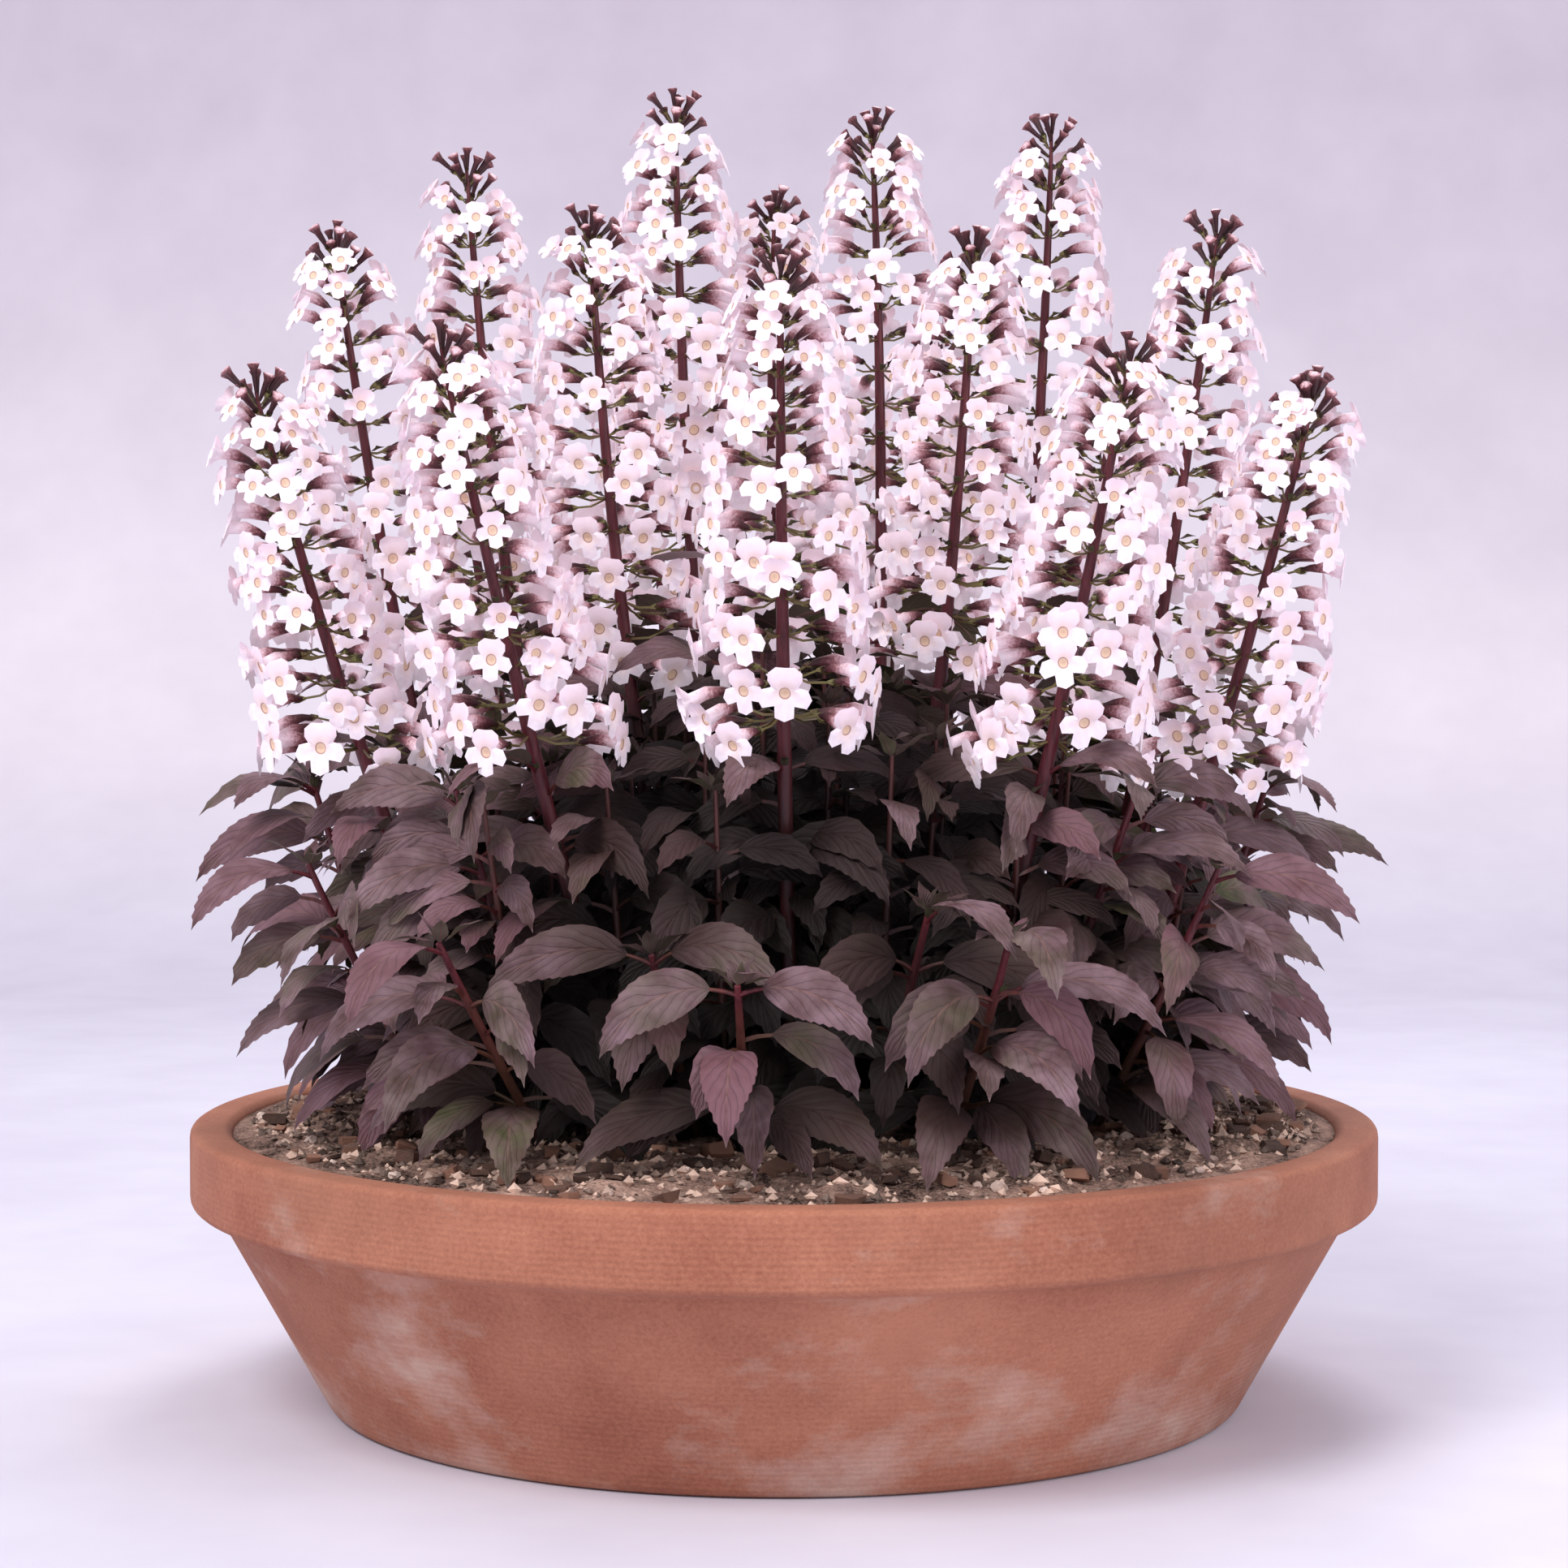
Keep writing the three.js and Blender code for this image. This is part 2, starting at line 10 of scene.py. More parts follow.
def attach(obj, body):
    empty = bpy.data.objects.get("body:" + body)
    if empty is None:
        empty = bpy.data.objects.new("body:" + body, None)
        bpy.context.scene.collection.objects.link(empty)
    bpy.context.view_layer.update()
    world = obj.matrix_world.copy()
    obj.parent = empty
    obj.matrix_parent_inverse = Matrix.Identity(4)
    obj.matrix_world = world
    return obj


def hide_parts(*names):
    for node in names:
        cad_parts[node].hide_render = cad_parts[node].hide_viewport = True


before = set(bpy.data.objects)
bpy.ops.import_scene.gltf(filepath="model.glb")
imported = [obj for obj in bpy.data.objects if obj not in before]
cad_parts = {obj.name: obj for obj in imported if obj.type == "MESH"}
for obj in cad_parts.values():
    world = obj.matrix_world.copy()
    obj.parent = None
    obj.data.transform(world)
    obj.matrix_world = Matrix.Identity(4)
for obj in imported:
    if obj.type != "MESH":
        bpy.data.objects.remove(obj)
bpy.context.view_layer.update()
MM = 0.001


# Terracotta bowl. The real one is thrown from red clay and fired without glaze: a tapered wall, a thick
# plain rim band and three drain holes in the flat base. It carries chalky bloom where water has dried.
POT_HEIGHT = 160
POT_FOOT_RADIUS = 262
POT_RIM_RADIUS = 340
POT_RIM_BAND = 46
POT_RIM_OVERHANG = 15
POT_WALL = 15
POT_WALL_THINNING = 8
POT_FLOOR = 16
POT_EDGE = 4
POT_STEPS = 144
DRAIN_RADIUS = 8
DRAIN_CIRCLE = 120
DRAIN_COUNT = 3
BODY = "root"


def lerp(low, high, share):
    return low + (high - low) * share


def clamp(value, low=0, high=1):
    return min(max(value, low), high)


def linear(colour):
    """A colour given as screen values, as the linear one that shaders use. A link stays as it is."""
    if isinstance(colour, bpy.types.NodeSocket):
        return colour
    return (*(((c / 255 + 0.055) / 1.055) ** 2.4 if c > 10 else c / 255 / 12.92 for c in colour), 1)


class Nodes:
    """The nodes of a shader tree. Most methods add one and give its output."""

    def __init__(self, tree, place):
        self.tree = tree
        self.place = place

    def join(self, source, socket):
        if isinstance(source, bpy.types.NodeSocket):
            self.tree.links.new(source, socket)
        else:
            socket.default_value = source

    def add(self, kind, links=None, **settings):
        """A node with its settings, and a value or a link for each input that is named."""
        made = self.tree.nodes.new(kind)
        for key, value in settings.items():
            setattr(made, key, value)
        for socket, source in (links or {}).items():
            self.join(source, made.inputs[socket])
        return made

    def math(self, operation, *values):
        return self.add("ShaderNodeMath", dict(enumerate(values)), operation=operation).outputs[0]

    def plus(self, first, second):
        return self.math("ADD", first, second)

    def minus(self, first, second):
        return self.math("SUBTRACT", first, second)

    def times(self, first, second):
        return self.math("MULTIPLY", first, second)

    def mix(self, share, low, high):
        links = {0: share, 6: linear(low), 7: linear(high)}
        return self.add("ShaderNodeMix", links, data_type="RGBA").outputs[2]

    def between(self, value, low, high, to_low=0.0, to_high=1.0):
        return self.add("ShaderNodeMapRange", {0: value, 1: low, 2: high, 3: to_low, 4: to_high}).outputs[0]

    def clouds(self, scale, detail=3.0, roughness=0.55, at=None):
        links = {"Vector": at or self.place, "Scale": scale, "Detail": detail, "Roughness": roughness}
        return self.add("ShaderNodeTexNoise", links).outputs[0]


def make_grain_group():
    """Two tones mixed by coarse clouds and fine specks, with a height, for clay, soil, bark and stem skin."""
    group = bpy.data.node_groups.new("two_tone_grain", "ShaderNodeTree")
    for name, kind in (("Vector", "Vector"), ("Dark", "Color"), ("Light", "Color"), ("Cloud Scale", "Float"),
                       ("Speck Scale", "Float")):
        group.interface.new_socket(name=name, in_out="INPUT", socket_type="NodeSocket" + kind)
    for name, kind in (("Color", "Color"), ("Height", "Float")):
        group.interface.new_socket(name=name, in_out="OUTPUT", socket_type="NodeSocket" + kind)
    given = group.nodes.new("NodeGroupInput").outputs
    nodes = Nodes(group, given["Vector"])
    specks = nodes.clouds(given["Speck Scale"], 3, 0.7)
    share = nodes.plus(nodes.times(nodes.clouds(given["Cloud Scale"], 4), 0.62), nodes.times(specks, 0.38))
    out = group.nodes.new("NodeGroupOutput").inputs
    nodes.join(nodes.mix(nodes.between(share, 0.36, 0.64), given["Dark"], given["Light"]), out["Color"])
    nodes.join(specks, out["Height"])
    return group


grain_group = make_grain_group()


class Finish(Nodes):
    """A material whose skin colour is laid on in coats."""

    def __init__(self, name, roughness, specular=0.5):
        self.material = bpy.data.materials.new(name)
        self.material.use_nodes = True
        super().__init__(self.material.node_tree, None)
        self.place = self.add("ShaderNodeTexCoord").outputs["Object"]
        self.sockets = self.tree.nodes["Principled BSDF"].inputs
        self.join(roughness, self.sockets["Roughness"])
        self.join(specular, self.sockets["Specular IOR Level"])

    def stretched(self, scale, at=None):
        return self.add("ShaderNodeMapping", {"Vector": at or self.place, "Scale": scale}).outputs[0]

    def grain(self, dark, light, cloud_scale, speck_scale, at=None):
        """The grain's colour and its height."""
        links = {"Vector": at or self.place, "Dark": linear(dark), "Light": linear(light),
                 "Cloud Scale": cloud_scale, "Speck Scale": speck_scale}
        made = self.add("ShaderNodeGroup", links, node_tree=grain_group).outputs
        return made["Color"], made["Height"]

    def mark(self, name):
        return self.add("ShaderNodeAttribute", attribute_name=name).outputs["Fac"]

    def height(self):
        return self.add("ShaderNodeSeparateXYZ", {0: self.place}).outputs[2]

    def coat(self, share, colour):
        """Lays a colour over the skin, as strongly as its share says."""
        self.skin = self.mix(share, self.skin, colour)

    def finished(self, relief, distance, strength=1.0):
        """The material, with its skin as the base colour and its relief as bump."""
        self.join(self.skin, self.sockets["Base Color"])
        bump = self.add("ShaderNodeBump", {"Height": relief, "Distance": distance, "Strength": strength})
        self.join(bump.outputs[0], self.sockets["Normal"])
        return self.material


def new_mesh(layers=(), mapped=False):
    """An empty work mesh whose corners hold the named values."""
    bm = bmesh.new()
    for name in layers:
        bm.verts.layers.float.new(name)
    if mapped:
        bm.loops.layers.uv.new("UVMap")
    return bm


def as_mesh(bm, name):
    """The work mesh as a lasting one."""
    mesh = bpy.data.meshes.new(name)
    bm.to_mesh(mesh)
    bm.free()
    return mesh


def copy_in(bm, mesh):
    """A copy of a mesh in the work mesh, as a list of its new corners."""
    first = len(bm.verts)
    bm.from_mesh(mesh)
    bm.verts.ensure_lookup_table()
    return bm.verts[first:]


def set_out(name, data):
    made = bpy.data.objects.new(name, data)
    bpy.context.scene.collection.objects.link(made)
    return made


def finish_piece(bm, name, materials, nodes, smooth_angle):
    """The mesh as a named piece of the plant, smooth but for its sharp edges, riding on the one body."""
    mesh = as_mesh(bm, name)
    mesh.polygons.foreach_set("use_smooth", [True] * len(mesh.polygons))
    mesh.set_sharp_from_angle(angle=radians(smooth_angle))
    for material in materials:
        mesh.materials.append(material)
    piece = set_out(name, mesh)
    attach(piece, BODY)
    if nodes:
        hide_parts(*nodes)
    return piece


def lathe(profile, steps):
    """A profile of (radius, height) in millimetres turned about the Z axis, with its faces outwards."""
    bm = bmesh.new()
    corners = [bm.verts.new((r * MM, 0, z * MM)) for r, z in profile]
    edges = [bm.edges.new(pair) for pair in zip(corners, corners[1:])]
    bmesh.ops.spin(bm, geom=corners + edges, axis=(0, 0, 1), angle=2 * pi, steps=steps, use_merge=True)
    bmesh.ops.remove_doubles(bm, verts=bm.verts, dist=0.01 * MM)
    bmesh.ops.recalc_face_normals(bm, faces=bm.faces)
    return bm


def inner_radius(z):
    share = (z - POT_FLOOR) / (POT_HEIGHT - POT_FLOOR)
    at_rim = POT_RIM_RADIUS - POT_RIM_OVERHANG - POT_WALL + POT_WALL_THINNING
    return lerp(POT_FOOT_RADIUS - POT_WALL, at_rim, share)


def rounded(corner, before, after, radius, parts=4):
    """The points of a rounded corner between its two neighbours."""
    start = corner + (before - corner).normalized() * radius
    end = corner + (after - corner).normalized() * radius
    return [start.lerp(corner, t).lerp(corner.lerp(end, t), t) for t in (i / parts for i in range(parts + 1))]


def make_pot_finish():
    clay = Finish("terracotta", 0.84)
    clay.skin, specks = clay.grain((150, 88, 66), (188, 126, 98), 9, 420)
    height = clay.height()
    near_foot = clay.between(height, 0, 0.11, 0.16, 0)
    bloom = clay.plus(clay.clouds(7.5, 7, 0.66, clay.stretched((1, 1, 1.7))), near_foot)
    clay.coat(clay.between(bloom, 0.6, 0.78, 0, 0.5), (216, 196, 182))
    near_rim = clay.between(height, (POT_HEIGHT - 60) * MM, POT_HEIGHT * MM, 0, 0.09)
    damp = clay.plus(clay.clouds(5, 5), near_rim)
    clay.coat(clay.between(damp, 0.56, 0.74, 0, 0.45), (116, 72, 56))
    links = {"Vector": clay.place, "Scale": 95, "Distortion": 1.2, "Detail": 1}
    rings = clay.add("ShaderNodeTexWave", links, wave_type="BANDS", bands_direction="Z").outputs[1]
    return clay.finished(clay.plus(clay.times(rings, 0.35), specks), 0.0006, 0.6)


def make_pot():
    """The bowl, from its profile's corners (radius, height, rounding), with its drain holes cut."""
    band_foot = POT_HEIGHT - POT_RIM_BAND
    corners = [
        (0, 0, 0),
        (POT_FOOT_RADIUS, 0, 5),
        (POT_RIM_RADIUS - POT_RIM_OVERHANG, band_foot, 2),
        (POT_RIM_RADIUS, band_foot + POT_EDGE, 4),
        (POT_RIM_RADIUS, POT_HEIGHT, 5),
        (inner_radius(POT_HEIGHT), POT_HEIGHT, 4),
        (inner_radius(POT_FLOOR), POT_FLOOR, 8),
        (0, POT_FLOOR, 0),
    ]
    profile = [corners[0][:2]]
    for before, corner, after in zip(corners, corners[1:], corners[2:]):
        profile += rounded(*(Vector(at[:2]) for at in (corner, before, after)), corner[2])
    profile.append(corners[-1][:2])
    bm = lathe(profile, POT_STEPS)
    pot = finish_piece(bm, "terracotta_bowl", [make_pot_finish()], ["pot"], 40)
    drills = bmesh.new()
    for i in range(DRAIN_COUNT):
        angle = i / DRAIN_COUNT * 2 * pi
        where = Vector((cos(angle), sin(angle), 0)) * DRAIN_CIRCLE * MM
        radius = DRAIN_RADIUS * MM
        bmesh.ops.create_cone(drills, cap_ends=True, segments=24, radius1=radius, radius2=radius,
                              depth=3 * POT_FLOOR * MM, matrix=Matrix.Translation(where))
    drill = set_out("drain_drills", as_mesh(drills, "drain_drills"))
    cut = pot.modifiers.new("drain_holes", "BOOLEAN")
    cut.object = drill
    cut.operation = "DIFFERENCE"
    cut.solver = "EXACT"
    holed = bpy.data.meshes.new_from_object(pot.evaluated_get(bpy.context.evaluated_depsgraph_get()))
    pot.modifiers.clear()
    pot.data = holed
    bpy.data.objects.remove(drill)


make_pot()


# Potting soil. Real potting soil is a loose, gritty mix of peat crumbs, sand and bark. It fills the bowl to
# just under the rim, a little crowned in the middle, and its top is all lumps.
SOIL_BELOW_RIM = 4
SOIL_CROWN = 12
SOIL_ROUGHNESS = 1.6
SOIL_RINGS = 48
SOIL_STEPS = 168
GAP = 0.3
CALM_EDGE = 14
LUMP_LIFT = 2.4
CRUMB_LIFT = 0.9


def soil_top(radius):
    edge = inner_radius(POT_HEIGHT - SOIL_BELOW_RIM)
    return POT_HEIGHT - SOIL_BELOW_RIM + SOIL_CROWN * (1 - min(radius / edge, 1) ** 4)


def soil_surface(x, y):
    """The height of the lumpy soil at a place, in millimetres."""
    radius = hypot(x, y)
    clod = sin(x * 0.11 + y * 0.05) + sin(y * 0.13 - x * 0.04 + 1.7)
    lumps = noise.fractal(Vector((x, y, 0)) * 0.055, 0.7, 2.1, 4)
    crumbs = noise.fractal(Vector((x, y, 9)) * 0.21, 0.8, 2.0, 3)
    calm = clamp((inner_radius(POT_HEIGHT) - radius) / CALM_EDGE)
    return soil_top(radius) + calm * (SOIL_ROUGHNESS * clod + LUMP_LIFT * lumps + CRUMB_LIFT * crumbs)


def make_soil_finish():
    earth = Finish("gritty_soil", 0.95, 0.2)
    earth.skin, specks = earth.grain((36, 22, 18), (206, 168, 150), 42, 560)
    cells = earth.add("ShaderNodeTexVoronoi", {"Vector": earth.place, "Scale": 330}).outputs["Distance"]
    earth.coat(earth.between(cells, 0, 0.5, 0.45, 0), (156, 124, 110))
    return earth.finished(earth.minus(specks, cells), 0.0022)


def make_soil():
    edge = inner_radius(POT_HEIGHT - SOIL_BELOW_RIM) - GAP
    bottom = POT_FLOOR + GAP
    profile = [(0, bottom), (inner_radius(POT_FLOOR) - GAP, bottom), (edge, POT_HEIGHT - SOIL_BELOW_RIM)]
    profile += [(edge * (1 - i / SOIL_RINGS), POT_HEIGHT) for i in range(1, SOIL_RINGS)]
    profile.append((0, POT_HEIGHT))
    bm = lathe(profile, SOIL_STEPS)
    for corner in bm.verts:
        x, y, z = corner.co / MM
        if z > POT_HEIGHT - 1:
            corner.co.z = soil_surface(x, y) * MM
    finish_piece(bm, "potting_soil", [make_soil_finish()], ["soil"], 180)


make_soil()


# Crumbs, pebbles and bark on the soil. Broken peat crumbs lie all over, with small tan and grey pebbles and
# flat flakes of bark among them, each pressed a little into the surface.
CRUMBS = 4600
PEBBLES = 200
FLAKES = 380
BARE_SHARE = 0.3
FULL_TURN = 6.28


def draw(stem, item, use):
    """An even draw between 0 and 1, always the same for the same stem, item and use."""
    wave = sin(stem * 12.9898 + item * 78.233 + use * 37.719) * 43758.5453
    return wave - floor(wave)


def sway(stem, item, use):
    return 2 * draw(stem, item, use) - 1


def make_grit_finish(name, dark, light, roughness):
    grit = Finish(name, roughness)
    tones, specks = grit.grain(dark, light, 60, 900)
    own_tone = grit.mix(grit.between(grit.mark("tone"), 0.12, 0.64), dark, light)
    grit.skin = grit.mix(0.7, tones, own_tone)
    return grit.finished(specks, 0.0006)


def scatter(name, count, start, sizes, flat, sink, material):
    """Many copies of a small starting shape, each turned, squeezed and set on the soil."""
    first_one = new_mesh(["tone"])
    start(first_one)
    pattern = as_mesh(first_one, name + "_pattern")
    bm = new_mesh(["tone"])
    tone_layer = bm.verts.layers.float["tone"]
    key = len(name)
    edge = inner_radius(POT_HEIGHT) - 12
    for i in range(count):
        radius = edge * sqrt(lerp(BARE_SHARE, 1, draw(key, i, 1)))
        angle = 2 * pi * draw(key, i, 2)
        x, y = radius * cos(angle), radius * sin(angle)
        size = lerp(*sizes, draw(key, i, 3) ** 2)
        tall = size * lerp(flat, 1, draw(key, i, 5) * 0.6)
        shape = Matrix.Diagonal((size, size * lerp(0.55, 1, draw(key, i, 6)), tall, 1))
        whole = Matrix.Scale(MM, 4) @ Matrix.Translation((x, y, soil_surface(x, y) - sink * tall))
        whole = whole @ Matrix.Rotation(FULL_TURN * draw(key, i, 7), 4, "Z")
        whole = whole @ Matrix.Rotation(0.5 * sway(key, i, 8), 4, "X") @ shape
        for j, corner in enumerate(copy_in(bm, pattern)):
            corner.co = whole @ (corner.co * (1 + 0.28 * sway(key + j, i, 4)))
            corner[tone_layer] = draw(key, i, 9) ** 1.6
    finish_piece(bm, name, [material], (), 35)


def crumb_start(bm):
    bmesh.ops.create_uvsphere(bm, u_segments=4, v_segments=2, radius=0.5)


def pebble_start(bm):
    bmesh.ops.create_icosphere(bm, subdivisions=2, radius=0.5)


def flake_start(bm):
    bmesh.ops.create_cube(bm, size=1)
    bmesh.ops.bevel(bm, geom=bm.edges[:], offset=0.14, segments=1, profile=0.5, affect="EDGES", material=-1)


scatter("peat_crumbs", CRUMBS, crumb_start, (3.0, 9.5), 0.6, -0.1,
        make_grit_finish("peat_crumb", (36, 22, 17), (240, 206, 186), 0.95))
scatter("soil_pebbles", PEBBLES, pebble_start, (4.0, 9.5), 0.6, -0.12,
        make_grit_finish("pebble", (128, 100, 88), (238, 214, 200), 0.7))
scatter("bark_flakes", FLAKES, flake_start, (6.0, 15.0), 0.16, -0.3,
        make_grit_finish("bark_flake", (34, 22, 19), (150, 108, 88), 0.85))


# The clump's plan. Eighteen flowering stems grow from the middle and lean out, and two rings of short shoots
# fill the foot. Every stem is a straight lean with a slight bow. A flowering one is given by its foot, its
# tip with the height above the bowl, and the share of it that has leaves.
FLOWER_STEMS = (
    ((-160, -82), (-290, -92, 411), 0.5),
    ((-172, 34), (-266, 62, 508), 0.5),
    ((-119, 88), (-193, 122, 561), 0.53),
    ((-84, -112), (-180, -176, 428), 0.5),
    ((-50, -8), (-111, -6, 509), 0.52),
    ((-33, 92), (-66, 112, 596), 0.55),
    ((4, 150), (-6, 186, 544), 0.55),
    ((5, -122), (-2, -186, 468), 0.48),
    ((50, 84), (53, 100, 582), 0.55),
    ((59, -14), (108, -24, 495), 0.52),
    ((122, 74), (160, 84, 577), 0.54),
    ((94, -108), (182, -170, 422), 0.5),
    ((172, 48), (257, 66, 516), 0.5),
    ((176, -66), (294, -74, 411), 0.5),
    ((-132, 158), (-214, 236, 436), 0.5),
    ((-58, 186), (-92, 262, 486), 0.5),
    ((66, 184), (96, 268, 472), 0.5),
    ((138, 150), (214, 232, 438), 0.5),
)
SHOOT_RINGS = (
    {"angles": (355, 25, 55, 85, 115, 145, 175, 205, 235, 265, 295, 325), "foot": 206, "reach": 76,
     "height": (96, 190)},
    {"angles": (0, 60, 115, 190, 220, 255, 291, 325), "foot": 148, "reach": 80, "height": (118, 225)},
)
STEM_THICKNESS = (4.2, 1.6)
SHOOT_THICKNESS = (2.8, 1.6)
STEM_TAPER = 2.4
SHOOT_LEAF_SPACING = 48
STEM_BOW = 0.02
STEM_ROOT = 14
ROOT_OFFSET = 0.3


def direction(azimuth, elevation):
    level = cos(elevation)
    return Vector((level * cos(azimuth), level * sin(azimuth), sin(elevation)))


def wrap_angle(angle):
    return atan2(sin(angle), cos(angle))


def stem_point(stem, share):
    bow = 4 * share * (1 - share)
    return Vector([lerp(low, high, share) + bow * bend
                   for low, high, bend in zip(stem.start, stem.end, stem.bow)])


def stem_radius(stem, share):
    return lerp(*stem.thick, max(share, 0) ** STEM_TAPER)


def plan_stem(number, foot, tip, thick, bow=None, **more):
    """A stem from its foot in the soil to its tip, bowed outwards and a little sideways."""
    if bow is None:
        lean = atan2(tip[1] - foot[1], tip[0] - foot[0])
        out = STEM_BOW * tip[2] * (0.5 + 0.5 * draw(number, 0, 5))
        across = 0.6 * STEM_BOW * tip[2] * sway(number, 0, 6)
        bow = (out * cos(lean) - across * sin(lean), out * sin(lean) + across * cos(lean))
    from_middle = hypot(*foot)
    start = (*foot, soil_top(from_middle))
    end = (tip[0], tip[1], POT_HEIGHT + tip[2])
    outward = atan2(foot[1] + tip[1], foot[0] + tip[0])
    return SimpleNamespace(number=number, from_middle=from_middle, start=start, end=end, outward=outward,
                           height=end[2] - start[2], bow=(*bow, 0), thick=thick, **more)


def lay_out_stems():
    stems = []
    for number, (foot, tip, leafy) in enumerate(FLOWER_STEMS, 1):
        stems.append(plan_stem(number, foot, tip, STEM_THICKNESS, leafy=leafy, flowers=True,
                               node=f"leafy_stem_{number:02d}", spray_node=f"flower_spray_{number:02d}"))
    for ring in SHOOT_RINGS:
        for shoot_angle in ring["angles"]:
            number = len(stems) + 1
            angle = radians(shoot_angle + 3 * sway(number, 0, 1))
            foot_radius = ring["foot"] + 7 * sway(number, 0, 2)
            tip_radius = foot_radius + ring["reach"] + 8 * sway(number, 0, 3)
            height = lerp(*ring["height"], cos(angle) ** 2) * (1 + 0.12 * sway(number, 0, 4))
            foot = (foot_radius * cos(angle), foot_radius * sin(angle))
            tip = (tip_radius * cos(angle), tip_radius * sin(angle), height)
            stems.append(plan_stem(number, foot, tip, SHOOT_THICKNESS, leafy=1, flowers=False,
                                   pairs=floor(height / SHOOT_LEAF_SPACING + 0.5) + 1,
                                   node=f"leafy_shoot_{number - len(FLOWER_STEMS):02d}"))
    return stems


stems = lay_out_stems()


# Leaves. A real leaf is a lance-shaped, finely toothed blade with a sunk midrib and veins that curve forward,
# on a red stalk. It arches out and hangs at the tip. Most are purple-brown, and shaded ones keep some olive
# green. Deep in the clump their colour is also darkened as painted shade. A pair of values is for the lowest
# leaf of a stem and for its highest.
LEAF_SPACING = 40
FIRST_LEAF = 34
TOP_LEAF_SHARE = 0.95
LEAF_LENGTH = (84, 70)
LEAF_HALF_WIDTH = (15.5, 12)
LEAF_STALK = (18, 7)
LEAF_RISE = (22, 40)
LEAF_FALL = (-68, -48)
HIGH_LEAF_AT = 250
LEAF_ROLL = 42
SIDE_LEAF_ROLL = 46
MOST_LEAF_ROLL = 55
LEAF_ROLL_SWAY = 24
FRONT_ENDS_AT = 60
FRONT_EDGE_WIDTH = 40
SPINE_STEPS = 20
LIGHT_TURN = 0.34
SHADE_ANGLE = 112
SHADE_HEIGHT = 170
DEEP_WITHIN = 110
TURNS = (0, 11, -11, 22, -22, 34, -34)
TILTS = (0, 10, -10, 20, -20)
SIZES = (1, 0.86, 0.72)
BLADE_ROWS = 26
BLADE_COLUMNS = 4
BLADE_THICKNESS = 0.6
PATTERN_THICKNESS = 0.01
TOOTH = 0.7
BLADE_SLIMMING = 0.95
OUTLINE_START = 0.78
OUTLINE_END = 1.3
OUTLINE_PEAK = OUTLINE_START / (OUTLINE_START + OUTLINE_END)
OUTLINE_SCALE = OUTLINE_PEAK ** OUTLINE_START * (1 - OUTLINE_PEAK) ** OUTLINE_END
MATCH_WITHIN = 0.05 * MM
CLUMP = {"wide": 262, "deep": 300, "tall": 298}
SHADE_FROM = 0.98
SHADE_TO = 0.54
# The second value holds olive green from 0 to 1, and painted shade from 1 to 2.
PLANT_LAYERS = ("tone", "olive_and_painted_shade", "shade")


def shade_at(point):
    """How dark it is inside the leaves at a place: 0 at the outside of the clump, 1 deep in its middle."""
    out = (point.x / CLUMP["wide"]) ** 2 + (point.y / CLUMP["deep"]) ** 2
    out += (max(point.z - POT_HEIGHT, 0) / CLUMP["tall"]) ** 2
    share = clamp((SHADE_FROM - out) / (SHADE_FROM - SHADE_TO))
    return share * share * (3 - 2 * share)


def place_on(stem, item, above, azimuth, share=1):
    return SimpleNamespace(item=item, above=above, azimuth=azimuth, share=min(above / stem.height, share))


def leaf_places(stem):
    """Where a stem's leaves stand: pairs, each a quarter turn on, and both swung a little to the light."""
    span = stem.height * stem.leafy
    if stem.flowers:
        pairs = floor((span - FIRST_LEAF - LEAF_SPACING / 4) / LEAF_SPACING) + 1
        spacing = LEAF_SPACING
        first = FIRST_LEAF
        start = 2 * pi * draw(stem.number, 0, 7)
        turn_to_light = LIGHT_TURN * 0.6
    else:
        pairs = stem.pairs
        spacing = (span - FIRST_LEAF * 0.8) / (pairs - 1)
        first = FIRST_LEAF * 0.72
        start = stem.outward + pi / 2
        turn_to_light = LIGHT_TURN
    places = []
    for item in range(2 * pairs):
        pair, side = divmod(item, 2)
        above = first + spacing * pair + 4 * sway(stem.number, pair, 8)
        grown = start + pi / 2 * pair + pi * side + 0.2 * sway(stem.number, item, 9)
        azimuth = grown + turn_to_light * wrap_angle(stem.outward - grown)
        away = abs(wrap_angle(stem.outward - azimuth))
        shaded = away > radians(SHADE_ANGLE) and above < SHADE_HEIGHT
        deep = stem.from_middle < DEEP_WITHIN and above < DEEP_WITHIN
        if not shaded and not deep:
            places.append(place_on(stem, item, above, azimuth, TOP_LEAF_SHARE))
    return places


def leaf_facing(stem, azimuth):
    """How far a blade is turned about its middle line, in degrees, to look out of the clump."""
    out_of_clump = sin(stem.outward - azimuth) * min(stem.from_middle / 120, 1)
    to_back = clamp((stem.start[1] - FRONT_ENDS_AT) / FRONT_EDGE_WIDTH, -1, 1)
    turned = LEAF_ROLL * out_of_clump + SIDE_LEAF_ROLL * cos(azimuth) * to_back
    return clamp(turned, -MOST_LEAF_ROLL, MOST_LEAF_ROLL)


